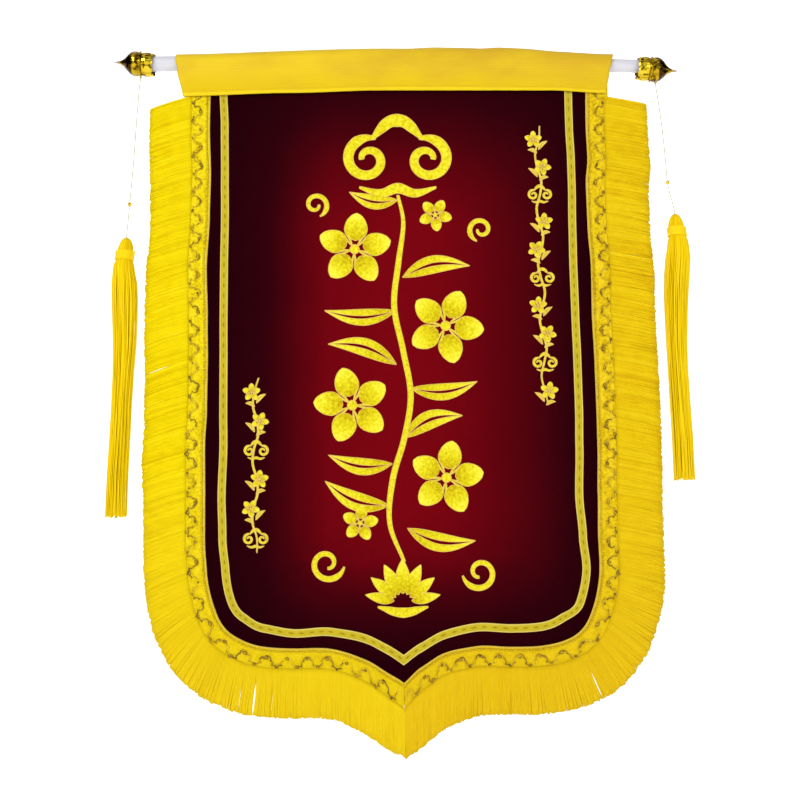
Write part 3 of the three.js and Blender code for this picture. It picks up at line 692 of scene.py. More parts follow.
def steel_tip_finish():
    f = Finish("worn_tip", Metallic=0.9, Roughness=0.3)
    worn = f.noise(f.place(), 500, 3)
    f.colour(f.ramp(worn, [(0.3, (112, 104, 120)), (0.7, (176, 160, 130))]))
    f.bump(worn, 0.0001, 0.4)
    return f.material


def rod_finish():
    f = Finish("white_plastic", Roughness=0.25, Coat_Weight=0.25, Coat_Roughness=0.12)
    drawn = f.noise(f.place(scale=(0.02, 1, 1)), 420, 3)
    cloud = f.noise(f.place(), 30, 3)
    f.colour(f.mix(cloud, (196, 195, 204), (208, 207, 211)))
    f.rough(drawn, 0.18, 0.34)
    f.bump(drawn, 0.00006, 0.5)
    return f.material


def backdrop_finish():
    f = Finish("lit_paper", Roughness=0.95, Specular_IOR_Level=0.1, Emission_Strength=0.5)
    grain = f.noise(f.place(), 60, 4)
    white = f.mix(grain, (248, 248, 248), (252, 252, 252))
    f.colour(white)
    f.tree.links.new(white, f.shader.inputs["Emission Color"])
    return f.material


VELVET_CLOTH = velvet_finish()
LINING = lining_finish()
SATIN_CLOTH = satin_finish("satin", (216, 184, 30), (202, 162, 34), (208, 176, 8))
# A lighter copy of the satin for the turned-up hem edge: a painted highlight
SATIN_HEM_PAINTED_HIGHLIGHT = satin_finish("satin_hem_painted_highlight", (222, 192, 24), (212, 176, 30), (224, 196, 24))
SILK = {
    "left": yarn_finish("fringe_silk_left", (206, 174, 2), (230, 206, 5), (240, 218, 26), (226, 190, 24)),
    "right": yarn_finish("fringe_silk_right", (198, 152, 8), (222, 188, 14), (234, 204, 34), (220, 181, 22)),
}
BRAID_YARN = {
    "left": yarn_finish(
        "braid_yarn_left", (150, 112, 8), (224, 200, 12), (246, 226, 56), (214, 182, 16), 0.55, 1.1),
    "right": yarn_finish(
        "braid_yarn_right", (146, 104, 10), (218, 186, 16), (240, 212, 56), (212, 178, 16), 0.55, 1.1),
}
TASSEL_SILK = yarn_finish(
    "tassel_silk", (200, 162, 4), (248, 212, 8), (254, 232, 60), roughness=0.45, scale=(1, 1, 0.12))
EDGE_YARN = yarn_finish("edge_yarn", (186, 152, 50), (220, 190, 90), (236, 214, 140))
GIMP = metallic_yarn_finish()
RIBBON_WEAVE = ribbon_finish()
RIBBON_EDGE = yarn_finish("ribbon_edge", (186, 162, 66), (212, 192, 96), (228, 212, 130))
# The finials' gold carries painted dark reflections; the beads' gold has none
GOLD_WITH_PAINTED_REFLECTIONS = gold_finish("plated_gold_painted_reflections", True)
BEAD_GOLD = gold_finish("bead_gold", False)
WORN_TIP = steel_tip_finish()
WHITE_PLASTIC = rod_finish()
PALE_THREAD = yarn_finish("pale_thread", (140, 136, 84), (178, 174, 124), (206, 204, 160))
STITCH_SILK = yarn_finish(
    "stitch_silk", (176, 140, 8), (224, 212, 22), (246, 238, 84), roughness=0.38, mottle=1)
OUTLINE_SILK = yarn_finish("outline_silk", (196, 150, 50), (232, 194, 96), (244, 216, 130), roughness=0.42)
SEWING = yarn_finish("sewing_thread", (206, 160, 20), (232, 190, 40), (244, 212, 80))
BACK_SEWING = yarn_finish("back_thread", (90, 16, 24), (120, 30, 36), (150, 50, 50), roughness=0.6)


# Camera

def add_camera():
    data = bpy.data.cameras.new("camera")
    data.sensor_width = 36
    data.lens = CAMERA_LENS
    camera = bpy.data.objects.new("camera", data)
    camera.location = CAMERA_AT
    camera.rotation_euler = (math.radians(90 + CAMERA_LOOKS_UP), 0, 0)
    bpy.context.scene.collection.objects.link(camera)
    bpy.context.scene.camera = camera


# Threads, with the bead on each and the loop that ties it to its finial

def catmull_rom(points, step):
    """A smooth line through points, with about that distance between its own."""
    points = np.asarray(points, float)
    ends = np.concatenate([2 * points[:1] - points[1:2], points, 2 * points[-1:] - points[-2:-1]])
    line = []
    for a, b, c, d in zip(ends, ends[1:], ends[2:], ends[3:]):
        count = max(2, round(float(np.linalg.norm(c - b)) / step))
        t = np.arange(count)[:, None] / count
        line.append(0.5 * (2 * b + (c - a) * t + (2 * a - 5 * b + 4 * c - d) * t ** 2
                           + (3 * b - 3 * c + d - a) * t ** 3))
    return np.concatenate([*line, points[-1:]])


def add_thread(side):
    route = np.array([(x, 0, -down) for x, down in ROUTES[side]])
    line = catmull_rom(route, 0.5)
    turn = 2 * math.pi * lengths(line) / PLY["pitch"]
    plies = []
    for phase, tone in ((0, 0.4), (math.pi, 0.6)):
        plies.append(tubes(line + wound(turn + phase, PLY["off"], 0), PLY["radius"], 6, tone=tone))
    thread = piece(f"plied_thread_{side}", plies, [PALE_THREAD])

    level = np.linspace(-1, 1, 15)
    radius = np.maximum(BEAD["radius"] * np.sqrt(1 - (0.83 * level) ** 2), 0.55)
    outer = np.concatenate([[BEAD["hole"]], radius, [BEAD["hole"]]])
    dip = BEAD["half_length"] - 0.1
    height = np.concatenate([[-dip], BEAD["half_length"] * level, [dip]])
    around = circle(32)
    facet = 1 + BEAD["cut"] * np.abs(np.cos(4 * around))
    bead = spun((outer[:, None] * facet, height[:, None]), around, tone=0.6)
    down = BEAD_DOWN[side]
    x = next(x for x, at in ROUTES[side] if at == down)
    bead = piece(f"gold_bead_{side}", [moved(bead, (x, 0, -down))], [BEAD_GOLD])
    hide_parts(f"bead_{side}")

    ring = np.linspace(0, 2 * math.pi, 25)
    top = route[0] + (0, 0, 1.3)
    eye = np.stack([0 * ring, LOOP["width"] * np.sin(ring), LOOP["height"] * (1 - np.cos(ring))], axis=1)
    turn = np.linspace(0, 6 * math.pi, 50)
    knot = wound(turn, 0.45, turn / 16 - 1.1)
    loop = piece(
        f"thread_loop_{side}",
        [tubes(top + eye, LOOP["radius"], 6, facing=(1, 0, 0)),
         tubes(top + knot, 0.36, 6, facing=(0, 0, 1), tone=0.3)],
        [PALE_THREAD],
    )
    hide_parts(f"thread_{side}")


# Rod and finials

def rod_parts():
    x = np.linspace(-ROD_HALF_LENGTH, ROD_HALF_LENGTH, 61)
    taper = smoothstep(x, ROD_TAPER["from"], ROD_TAPER["to"])
    radius = ROD_RADIUS + (ROD_TAPER["radius"] - ROD_RADIUS) * taper
    line = np.stack([x, 0 * x, axis_height(x) + ROD_RADIUS - radius], axis=1)
    return [tubes(line, radius, 48)]


def finial_parts(side):
    """One finial, its axis along Z from the rim, then laid on the rod's end."""
    sign, fit = SIGN[side], FINIAL_FIT[side]
    start = np.array(FINIAL_PROFILE["along"], float)
    along = np.unique(np.concatenate([np.linspace(0, SPIKE_END, FINIAL_RINGS), start, [14.95, 17.05]]))
    radius = np.interp(along, start, FINIAL_PROFILE["radius"])
    lobe = np.interp(along, start, FINIAL_PROFILE["lobe"])
    around = circle(FINIAL_AROUND)
    wave = np.abs(np.cos(PETALS / 2 * around))
    opposite = np.abs(np.sin(PETALS / 2 * around))
    vein = np.exp(-((1 - wave) / 0.004)) * 0.35
    cup = lobe[:, None] * (wave ** 0.6 - vein)

    def bump_at(form):
        return np.exp(-(((along - form["at"]) / form["width"]) ** 2))[:, None]

    # The bulb's own petals lie between the cup's and fade out towards the spike.
    bulb = BULB_PETALS["height"] * bump_at(BULB_PETALS) * (opposite ** 0.5 - 0.6)
    beads = BEADED_RING["height"] * np.abs(np.cos(14 * around)) - BEADED_RING["groove"]
    outline = radius[:, None] + cup + bulb + bump_at(BEADED_RING) * beads
    height = along[:, None] + 1.5 * (1 - wave) ** 1.5 * np.exp(-along / 3)[:, None]
    # The tone follows the relief: painted highlight on the raised petals, painted shade in their veins and
    # hollows
    tone = 0.5 + 0.5 * np.clip(cup - 0.5 + bulb, -1, 1)
    body = spun((outline, height), around, tone=tone)
    refinish(body, np.repeat(along[:-1] > SPIKE_FROM, len(around)), 1)
    # The lip and socket take the darkest tone: painted shade inside the hollow
    wall, floor = 0 * around + SOCKET_RADIUS, 0 * around + SOCKET_DEPTH
    painted_shade_lip = spun(
        (np.array([outline[0], outline[0] - 0.4, wall, wall, 0 * around + 0.5]),
         np.array([height[0], height[0] + 0.1, height[0] + 0.5, floor, floor])),
        around, tone=0,
    )

    # A flat lug on the ring, with an eye at its end for the thread
    turn = np.linspace(0, 2 * math.pi, 25)
    eye_at = LUG["reach"] - 1.65
    eye = np.stack([np.cos(turn), 0 * turn, np.sin(turn)], axis=1) * EYE["radius"] + (-eye_at, 0, fit["lug"])
    drop = np.linspace(LUG["top"], eye_at - 0.9, 8)
    neck = np.stack([-drop, 0 * drop, 0 * drop + fit["lug"]], axis=1)
    width = np.linspace(1.5, 0.75, 8)
    lug = [tubes(eye, EYE["wire"], 10, facing=(0, 1, 0)), tubes(neck, width, 12, flat=0.62, facing=(0, 1, 0))]

    rim, end = fit["rim"], sign * ROD_HALF_LENGTH
    slope = math.atan2(float(axis_height(end) - axis_height(rim)), abs(end - rim)) + math.radians(fit["turn"])
    rim_height = float(axis_height(rim)) - fit["drop"]
    cos, sin = math.cos(slope), math.sin(slope)
    parts = [body, painted_shade_lip, *lug]
    for part in parts:
        x, y, z = part["vertices"].T
        part["vertices"] = np.stack(
            [rim + sign * (z * cos - x * sin), y, rim_height + x * cos + z * sin], axis=1)
        if sign < 0:
            part["faces"] = [(faces[:, ::-1], finish) for faces, finish in part["faces"]]
    return parts


# Sleeve

def sleeve_parts():
    radius = ROD_RADIUS + CLOTH_CLEARANCE + SATIN / 2
    front = np.array([-(VELVET / 2 + 2 * LAYER_GAP + BRAID + SATIN / 2), -SLEEVE_FRONT_DOWN])
    back = np.array([VELVET / 2 + LAYER_GAP + SATIN / 2, -SLEEVE_BACK_DOWN])

    def leave(tail, sign):
        return math.atan2(tail[1], tail[0]) % (2 * math.pi) + sign * math.acos(radius / np.linalg.norm(tail))

    start, end = leave(front, -1), leave(back, 1) - 2 * math.pi
    turn = np.linspace(start, end, SLEEVE_TURN_ROWS)
    over = radius * np.stack([np.cos(turn), np.sin(turn)], axis=1)
    share = np.linspace(0, 1, SLEEVE_TAIL_ROWS)[:-1, None]
    middle = np.concatenate([
        front + (over[0] - front) * share, over, over[-1] + (back - over[-1]) * (1 - share[::-1]),
    ])
    tangent = unit(np.gradient(middle, axis=0))
    depth = np.clip(-middle[:, 1] / SLEEVE_FRONT_DOWN, 0, 1)
    travelled = lengths(middle)

    u = np.linspace(-1, 1, SLEEVE_COLUMNS)[:, None]
    halves = [table_at(SLEEVE_ENDS, "down", -middle[:, 1], side) for side in SIDES]
    x = SLEEVE_SHIFT + u * np.where(u < 0, *halves)
    bulge = np.sin(math.pi * depth) * (0.6 + 0.4 * np.sin(x / 47 + 1))
    puff = bulge * np.where(middle[:, 0] < 0, -PUFF["front"], PUFF["back"])
    settle = axis_height(x) * (1 - depth) + (SLEEVE_FRONT_DOWN - table_at(HEM, "x", x, "down")) * depth
    settle = settle + table_at(CREST, "x", x, "raise") * smoothstep(middle[:, 1], -3, radius)
    # Wrinkles stand out from the rod: small gathers at the hems, long soft ones between, pulls at the ends.
    gather = np.exp(-travelled / 9) + np.exp(-(travelled[-1] - travelled) / 9)
    wrinkle = WRINKLES["gather"] * gather * (1 + ripple(x / 3.4, travelled / 60, 11))
    wrinkle += WRINKLES["soft"] * (1 + ripple(x / 34, travelled / 21 + x / 90, 12)) * np.sin(math.pi * depth)
    wrinkle += WRINKLES["pull"] * np.abs(u) ** 14 * (1 + ripple(x / 8, travelled / 9, 13))
    fold = WRINKLES["fold"] * (travelled < TURN_UP)

    def side(offset, raised):
        stand = offset - raised
        y = middle[:, 0] + tangent[:, 1] * stand + puff
        z = middle[:, 1] - tangent[:, 0] * stand + settle
        return np.stack(np.broadcast_arrays(x, y, z), axis=-1)

    outer, inner = side(-SATIN / 2, wrinkle + fold), side(SATIN / 2, 0.9 * wrinkle)
    cloth = loft(np.concatenate([outer, inner[:, ::-1]], axis=1))
    # The turned-up hem edge takes the lighter satin, a painted highlight
    column = np.arange(2 * len(travelled))
    refinish(cloth, np.tile(column < (travelled < TURN_UP).sum(), len(u) - 1), 1)
    return cloth, outer, travelled


def stitches(line, kind, finish=0, tone=0.5, facing=FRONT):
    """Running stitches of a kind, laid on a line."""
    length, gap, radius = kind["length"], kind["gap"], kind["radius"]
    at = lengths(line)
    starts = np.arange(gap, at[-1] - length, length + gap)
    shares = np.linspace(0, 1, 4)
    places = starts[:, None] + length * shares
    points = np.stack([np.interp(places, at, line[:, i]) for i in range(3)], axis=-1)
    points += np.asarray(facing) * radius * (0.2 + 0.9 * np.sin(math.pi * shares))[None, :, None]
    return tubes(points, radius * np.array([0.6, 1, 1, 0.6]), 4, finish=finish, tone=tone, facing=facing)


def add_sleeve():
    cloth, outer, travelled = sleeve_parts()
    sleeve = piece("satin_sleeve", [cloth], [SATIN_CLOTH, SATIN_HEM_PAINTED_HIGHLIGHT])
    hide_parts("sleeve")
    rows = np.searchsorted(travelled, [HEM_SEAM, travelled[-1] - HEM_SEAM])
    sewn = [
        stitches(outer[:, row], HEM_STITCH, facing=facing)
        for row, facing in zip(rows, (FRONT, (0, 1, 0)))
    ]
    seams = piece("sleeve_seams", sewn, [SEWING])


# Panel

def panel_parts():
    along = np.linspace(TRIM_TOP, EDGE_LENGTH, 900)
    cut = offset_point(along, np.full(900, float(PANEL_LAP)))
    across = np.linspace(-cut[:, 0].max(), cut[:, 0].max(), PANEL_COLUMNS)
    order = np.argsort(cut[:, 0])
    bottom = np.interp(np.abs(across), cut[order, 0], cut[order, 1])
    bottom[[0, -1]] = CORNER_DOWN
    share = np.linspace(0, 1, PANEL_ROWS)
    down = PANEL_TOP + (bottom[:, None] - PANEL_TOP) * share
    front = hang(across[:, None], down, -VELVET / 2)
    back = hang(across[:, None], down, VELVET / 2)
    cloth = loft(np.concatenate([front, back[:, ::-1]], axis=1))
    column = np.arange(2 * len(share))
    return [refinish(cloth, np.tile(column >= len(share) - 1, len(across) - 1), 1)]


# Ribbon

WEAVE_RELIEF = 0.07
RIBBON_SECTION = {
    "offset": [-4.7, -4.55, -4.1, -3.6, -3.3, -1.7, 0, 1.7, 3.3, 3.6, 4.1, 4.55, 4.7],
    "height": [0.2, 0.75, 1.0, 0.85, 0.5, 0.6, 0.64, 0.6, 0.5, 0.85, 1.0, 0.75, 0.2],
    "cord": [0, 1, 1, 1, 0, 0, 0, 0, 0, 1, 1, 1, 0],
}


def ribbon_parts():
    """The ribbon as one strip from the left top round the tip to the right top, and its map."""
    along = np.append(np.arange(0, EDGE_LENGTH, RIBBON_STEP), EDGE_LENGTH)
    offsets = np.array(RIBBON_SECTION["offset"])
    cord = np.array(RIBBON_SECTION["cord"])
    heights = np.array(RIBBON_SECTION["height"])
    halves, maps = [], []
    for side in SIDES:
        inset = table_at(UNEVEN[side], "along", along, "inset")
        steps = np.arange(len(along))[:, None]
        weave = np.where(cord, np.sin(steps * math.pi / 2 + offsets * 2), (-1.0) ** steps)
        height = heights + WEAVE_RELIEF * weave
        lines = [offset_point(along, offset - inset) for offset in offsets]
        flat = np.stack(lines + [lines[-1], lines[0]], axis=1)
        under = np.full((len(along), 2), 0.05 - LAYER_GAP)
        halves.append(laid(side, flat, -(VELVET / 2 + LAYER_GAP) - np.append(height, under, axis=1)))
        v = np.concatenate([offsets, offsets[[-1, 0]]]) / 10
        maps.append(np.stack(np.broadcast_arrays(along[:, None] / 10, v), axis=-1))
    points, uv = (np.concatenate([left, right[-2::-1]]) for left, right in (halves, maps))
    row = np.arange(points.shape[1])
    body = refinish(strip(points), np.tile((row < 4) | (row >= 8), len(points) - 1), 1)
    return [body], uv.reshape(-1, 2)


# Braid

BRAID_BACK = -(VELVET / 2 + LAYER_GAP)
# How thick the knitted ground is across the braid, and how far it is ribbed and uneven
GROUND = {
    "offset": [0, 0.15, 1.2, 20, 26, 27],
    "thick": [0.2, 0.9, 1.2, 1.1, 0.9, 0.4],
    "ribbing": 0.16,
    "uneven": 0.14,
}
EDGING = {"offset": 0.75, "height": 1.15, "off": 0.36, "pitch": 3, "radius": 0.38}
ZIGZAG = {"offset": 3.1, "height": 1.45, "off": 0.55, "pitch": 2.8, "radius": 0.3}
DASHES = {"offset": 4.7, "height": 1.4, "length": 1.5, "gap": 1.6, "radius": 0.3}
SCROLL = {"offset": 15.8, "pitch": 22.5, "swing": 5.9, "lean": 1.5, "curl_along": 1.1, "curl_across": 1.2}
KNOT = {"size": 1.2, "vary": 1.1, "reach": 4.4, "lift": 1.9, "yarn": 0.4}
SCROLL_CORDS = [
    {"shift": 0, "swing": 1, "lag": 0, "radius": 0.55, "finish": 2, "tone": 0.45, "lift": 2.1},
    {"shift": 0.8, "swing": 0.8, "lag": 0.5, "radius": 0.42, "finish": 2, "tone": 0.7, "lift": 2},
    {"shift": -1, "swing": 0.8, "lag": -0.35, "radius": 0.45, "finish": 0, "tone": 0.7, "lift": 1.8},
]


def braid_line(side, along, offset, height):
    """Points on the braid, at an offset from its inner edge and a height over its back."""
    return laid(side, edge_point(side, along, offset), BRAID_BACK - height)


def braid_parts(side):
    seed = FIRST_SEED[side]
    # The knitted ground, ribbed across by the yarns that run on into the fringe
    along = np.append(np.arange(0, EDGE_LENGTH, BRAID_STEP), EDGE_LENGTH)
    inner = np.linspace(0.8, BRAID_WIDTH - 1.2, 13)
    offset = np.concatenate([[0, 0.15], inner, [BRAID_WIDTH - 0.3, BRAID_WIDTH]])
    thick = np.interp(offset, GROUND["offset"], GROUND["thick"])
    rows = np.arange(len(along))[:, None]
    ribbing = GROUND["ribbing"] * np.cos(math.pi * rows)
    uneven = GROUND["uneven"] * ripple(along[:, None] / 4, offset / 3, 21 + seed)
    height = thick + (ribbing + uneven) * (thick > 0.5)
    top = braid_line(side, along[:, None] + 0 * offset, offset + 0 * rows, height)
    under = braid_line(side, along[:, None] + np.zeros(2), np.array([BRAID_WIDTH, 0.0]) + 0 * rows, 0)
    # Raised rows are painted lighter and sunken rows darker, a painted highlight and shade; the ripple adds
    # random tone
    shade = 0.5 + 0.12 * np.cos(math.pi * rows) + 0.12 * ripple(along[:, None] / 5, offset / 2, 22 + seed)
    tone = np.concatenate([shade + 0 * offset, np.full((len(along), 2), 0.4)], axis=1)
    points = np.concatenate([top, under], axis=1)
    points[-1, :, 0] += HALVES_GAP * SIGN[side]
    ground = strip(points, tone)

    # The corded inner edge: two plies twisted together
    fine = np.arange(0.5, EDGE_LENGTH - 0.5, EDGING_STEP)
    twist = 2 * math.pi * fine / EDGING["pitch"]
    edging = []
    for off in (EDGING["off"], -EDGING["off"]):
        offset, height = EDGING["offset"] + off * np.cos(twist), EDGING["height"] + off * np.sin(twist)
        edging.append(tubes(braid_line(side, fine, offset, height), EDGING["radius"], 4, finish=1))
    # A small brown zigzag beside it, and a row of stitches further out
    offset = ZIGZAG["offset"] + ZIGZAG["off"] * np.sin(2 * math.pi * fine / ZIGZAG["pitch"])
    zigzag = braid_line(side, fine, offset, ZIGZAG["height"])
    dashes = braid_line(side, fine, DASHES["offset"], DASHES["height"])
    rows_of_stitches = [
        tubes(zigzag, ZIGZAG["radius"], 4, finish=2, tone=0.4),
        stitches(dashes, DASHES, 2, 0.35),
    ]

    # The scroll: speckled cords that wind side by side in rounded waves
    waves = round(EDGE_LENGTH / SCROLL["pitch"])
    t = np.linspace(0.12, waves - 0.12, waves * SCROLL_POINTS)
    r = rng(31 + seed)
    swell = np.interp(t, np.arange(waves + 1), r.uniform(0.78, 1.12, waves + 1))
    drift = np.interp(t, np.arange(waves + 1), r.uniform(-1.2, 1.2, waves + 1))
    phase = 2 * math.pi * t
    scroll = []
    for cord in SCROLL_CORDS:
        turn = phase + cord["lag"]
        curl = 5 * turn + 1.4 * np.sin(turn * 0.37)
        at = turn * EDGE_LENGTH / waves / (2 * math.pi) - SCROLL["lean"] * np.sin(2 * turn)
        at = at + SCROLL["curl_along"] * np.cos(curl)
        swing = SCROLL["swing"] * cord["swing"] * swell * np.sin(turn)
        out = SCROLL["offset"] + drift + cord["shift"] + swing + SCROLL["curl_across"] * np.sin(curl)
        speckle = ripple(t * 11, 0 * t, 71 + seed + round(10 * cord["swing"]))
        # The ground's yarns cover it here and there
        covered = np.clip(4 * ripple(t * 8, 0 * t, 81 + seed + round(10 * cord["swing"])) - 0.5, 0, 1)
        lift = cord["lift"] + 0.12 * np.sin(phase * 15) - 1.3 * covered
        line = braid_line(side, np.clip(at, 0.3, EDGE_LENGTH - 0.6), out, lift)
        tone = cord["tone"] + 0.45 * speckle
        scroll.append(tubes(line, cord["radius"], 4, finish=cord["finish"], tone=tone))

    # Small dark knots where the scroll turns
    k = np.arange(waves * 2 - 1)[:, None]
    turn = (k + 0.5) / 2
    around = np.linspace(0, 2 * math.pi, 9)
    size = KNOT["size"] + KNOT["vary"] * jitter(k + seed)
    at = turn * EDGE_LENGTH / waves + size * 1.3 * np.cos(around)
    out = SCROLL["offset"] + KNOT["reach"] * np.sin(2 * math.pi * turn) + size * np.sin(around)
    scroll.append(tubes(braid_line(side, at, out, KNOT["lift"]), KNOT["yarn"], 4, finish=2, tone=0.1))
    return [ground, *edging, *rows_of_stitches, *scroll]


# Fringe

def strand_parts(side):
    """Fine strands that fill each of the part's locks, in two layers a little apart."""
    seed = FIRST_SEED[side]
    start = FRINGE_TOP - TRIM_TOP
    locks = round((EDGE_LENGTH - start) / LOCK_PITCH)
    count = int((EDGE_LENGTH - start) / STRAND_PITCH)
    r = rng(61 + seed)
    place = (np.arange(count) + 0.5) / count * locks
    lock = np.minimum(place.astype(int), locks - 1)
    within = place - lock
    at = np.array(STRAND_SECTIONS)

    def parting(k, reach):
        along = start + (EDGE_LENGTH - start) * k / locks
        _, out, _ = rib(along)
        root = edge_point(side, along, np.full(len(k), BRAID_WIDTH - LOCK_ROOT))
        length = LOCK_LENGTH * table_at(UNEVEN[side], "along", along, "fringe") + LOCK_ROOT
        fan = np.radians(DROOP[side] + LOCK_SPLAY * jitter(seed + k)) * out[:, 0]
        angle = fan[:, None] * (0.75 + 0.25 * reach)
        cos, sin = np.cos(angle), np.sin(angle)
        way = np.stack([cos * out[:, :1] - sin * out[:, 1:], sin * out[:, :1] + cos * out[:, 1:]], axis=-1)
        return root[:, None] + way * (length[:, None] * reach)[..., None]

    trim = LOCK_SHORTEST + (1 - LOCK_SHORTEST) * (jitter(seed + lock) + 0.5)
    cut = trim * (1 + r.uniform(-0.03, 0.015, count))
    reach = cut[:, None] * at
    before, after = parting(lock, reach), parting(lock + 1, reach)
    bunch = within[:, None] + r.normal(0, 0.025, (count, 1)) * at
    for open_at, width in PARTINGS[side]:
        away = place / locks * (EDGE_LENGTH - start) + start - open_at
        push = np.sign(away) * width / 2 * np.exp(-np.abs(away) / 5) / LOCK_PITCH
        bunch = bunch + push[:, None] * (smoothstep(at, 0.1, 0.6) - 0.8 * smoothstep(at, 0.75, 1.1))
    flat = before + (after - before) * bunch[..., None]
    layer = BRAID_BACK - np.interp(at, [-0.05, 0.06, 0.16], [1.45, 1.4, BRAID / 2])
    layer = layer + LOCK_LIFT * jitter(seed + lock + 90)[:, None] * at
    alternate = STRAND_LAYER * np.where(np.arange(count) % 2, 1, -1)[:, None]
    layer = layer + alternate * np.interp(at, [0, 0.3, 1], [0.3, 1, 1])
    layer = layer + 0.28 * np.sin(at * r.uniform(4, 9, (count, 1)) + r.uniform(0, 6, (count, 1))) * at
    lines = laid(side, flat, layer)
    gap = np.linalg.norm(after - before, axis=-1) * locks / count
    width = 0.3 + gap * np.interp(at, [0, 0.2, 0.9, 1], [0.8, 1.0, 1.12, 1.0])
    tone = 0.44 + r.normal(0, 0.13, count) + 0.1 * jitter(seed + lock + 30)
    return [tubes(lines, width, 4, flat=0.55, tone=np.clip(tone[:, None] + 0 * at, 0, 1))]


# Tassels

def tassel_parts(side):
    spec = TASSELS[side]
    r = rng(spec["seed"])
    length = spec["length"]
    skirt = length - SKIRT_START

    def middle(down):
        return table_at(WANDER, "down", down, side)

    def strands(count, share, first_down, radius, sections, ragged):
        bunch = np.arange(count) // STRANDS_IN_BUNCH
        angle = 2 * math.pi * (np.arange(count) + 0.5) / count + r.normal(0, 0.02, count)
        heart = 2 * math.pi * (bunch + 0.5) * STRANDS_IN_BUNCH / count
        cut = 1 - ragged * r.random(int(bunch.max()) + 1)[bunch] - 0.004 * r.random(count)
        end = SKIRT_START + skirt * cut
        down = first_down + (end[:, None] - first_down) * sections
        head = np.interp(down, HEAD_PROFILE["down"], HEAD_PROFILE["radius"])
        low = table_at(SKIRT_PROFILE, "at", (down - SKIRT_START) / skirt, "radius")
        body = head + (low - head) * smoothstep(down, *HEAD_TO_SKIRT)
        body = body - PRESSED["by"] * (smoothstep(down, *PRESSED["in"]) - smoothstep(down, *PRESSED["out"]))
        stray = (r.normal(0, 0.03, count) + 0.03 * jitter(bunch + 9))[:, None]
        reach = body * (share + stray * smoothstep(down, 30, 60))
        pull = 0.35 * smoothstep(down, 40, length)
        turn = angle[:, None] * (1 - pull) + heart[:, None] * pull
        turn = turn + 0.05 * np.sin(down / 37 + r.uniform(0, 6, (count, 1))) * smoothstep(down, 40, 90)
        lines = wound(turn, reach, -down, middle(down))
        size = np.minimum(radius, 2 * math.pi * reach / count * 0.72)
        tone = (0.5 + r.normal(0, 0.12, count) + 0.14 * jitter(bunch + 3))[:, None] + 0 * down
        return tubes(lines, size, 4, tone=np.clip(tone, 0, 1), facing=(0.13, -0.99, 0.05))

    layers = [strands(*layer) for layer in TASSEL_LAYERS]
    down = np.append(CORE_PROFILE["down"], length - CORE_SHORTER)
    core = spun((np.array(CORE_PROFILE["radius"])[:, None], -down[:, None]), circle(40), tone=0.12)
    core["vertices"][:, 0] += middle(-core["vertices"][:, 2])
    turn = np.linspace(0, 2 * math.pi * BAND["turns"], 48 * BAND["turns"])
    down = BAND["top"] + BAND["pitch"] * turn / (2 * math.pi)
    radius = BAND["radius"] + BAND["swell"] * np.sin(turn / BAND["turns"] * 1.5)
    coil = wound(turn, radius, -down, middle(down))
    band = tubes(coil, BAND["yarn"], 6, facing=(0, 0, 1), tone=0.62)

    turn = np.linspace(0, 8 * math.pi, 70)
    knot = wound(turn, 1.4, -0.3 - turn / 11, middle(0))
    parts = [*layers, core, band, tubes(knot, 0.5, 5, facing=(0, 0, 1), tone=0.3)]
    return [moved(part, (spec["x"], 0, -spec["down"])) for part in parts]


# Embroidery: satin-stitched columns laid on the velvet

STITCH = 0.92
EMBROIDERY_HEIGHT = 1.0
OUTLINE = {"step": 1.8, "lift": 0.32, "radius": 0.42}
BLOSSOM_PETALS = 5


def resampled(points, step):
    points = np.asarray(points, float)
    at = lengths(points)
    count = max(3, int(round(at[-1] / step)) + 1)
    places = np.linspace(0, at[-1], count)
    return np.stack([np.interp(places, at, points[:, i]) for i in range(points.shape[1])], axis=1)


def column(spine, widths, slant=0.0, shade=0.0):
    """One satin column: stitches across a spine of given half widths. Its end is paler by shade."""
    spine = catmull_rom(spine, 1.0) if len(spine) > 2 else np.asarray(spine, float)
    spine = resampled(spine, STITCH / 2)
    share = np.linspace(0, 1, len(spine))
    half = np.interp(share, np.linspace(0, 1, len(widths)), widths)
    tangent = unit(np.gradient(spine, axis=0))
    normal = unit(np.stack([-tangent[:, 1], tangent[:, 0]], axis=1) + slant * tangent)
    parts = max(3, min(6, int(np.max(half) / 2) + 2))
    v = np.linspace(-1, 1, parts + 1)
    ragged = 1 + 0.03 * jitter(np.arange(len(spine)) * 1.7)
    flat = spine[:, None] + normal[:, None] * (half * ragged)[:, None, None] * v[None, :, None]
    dome = np.sqrt(np.maximum(0, 1 - np.abs(v) ** 3))
    plump = np.clip(half / 3, 0.25, 1)[:, None]
    ridge = np.where(np.arange(len(spine)) % 2, 0.12, -0.12)[:, None]
    height = EMBROIDERY_HEIGHT * dome * plump + ridge * dome
    points = hang(flat[..., 0], flat[..., 1], 0.05 - VELVET / 2 - height)
    uneven = 0.12 * jitter(np.arange(len(spine)) // 2) + shade * (share - 0.55)
    # Raised stitches are painted lighter and sunken ones darker, a painted highlight and shade; the rest of
    # the tone is random, plus the column's paler end
    fill = grid(points, 0, np.clip(0.5 + ridge * 1.6 + uneven[:, None] + 0 * v, 0, 1))
    rim = np.concatenate([flat[:, 0], flat[::-1, -1]])
    rim = resampled(np.concatenate([rim, rim[:1]]), OUTLINE["step"])
    outline = tubes(hang(*rim.T, -VELVET / 2 - OUTLINE["lift"]), OUTLINE["radius"], 4, finish=1)
    return [fill, outline]


def polar(centre, distance, degrees):
    """A point at a distance from a centre, in degrees clockwise from straight up."""
    a = math.radians(degrees)
    return (centre[0] + distance * math.sin(a), centre[1] - distance * math.cos(a))


def petal(centre, way, root, reach, width, power):
    """One petal, from its root to its reach out from the centre. The lower the power, the blunter it is."""
    t = np.linspace(0, 1, 15)
    widths = width * np.maximum(np.sin(math.pi * t ** 0.8) ** power, 0.03)
    return column([polar(centre, root, way), polar(centre, reach, way)], widths, shade=0.7)


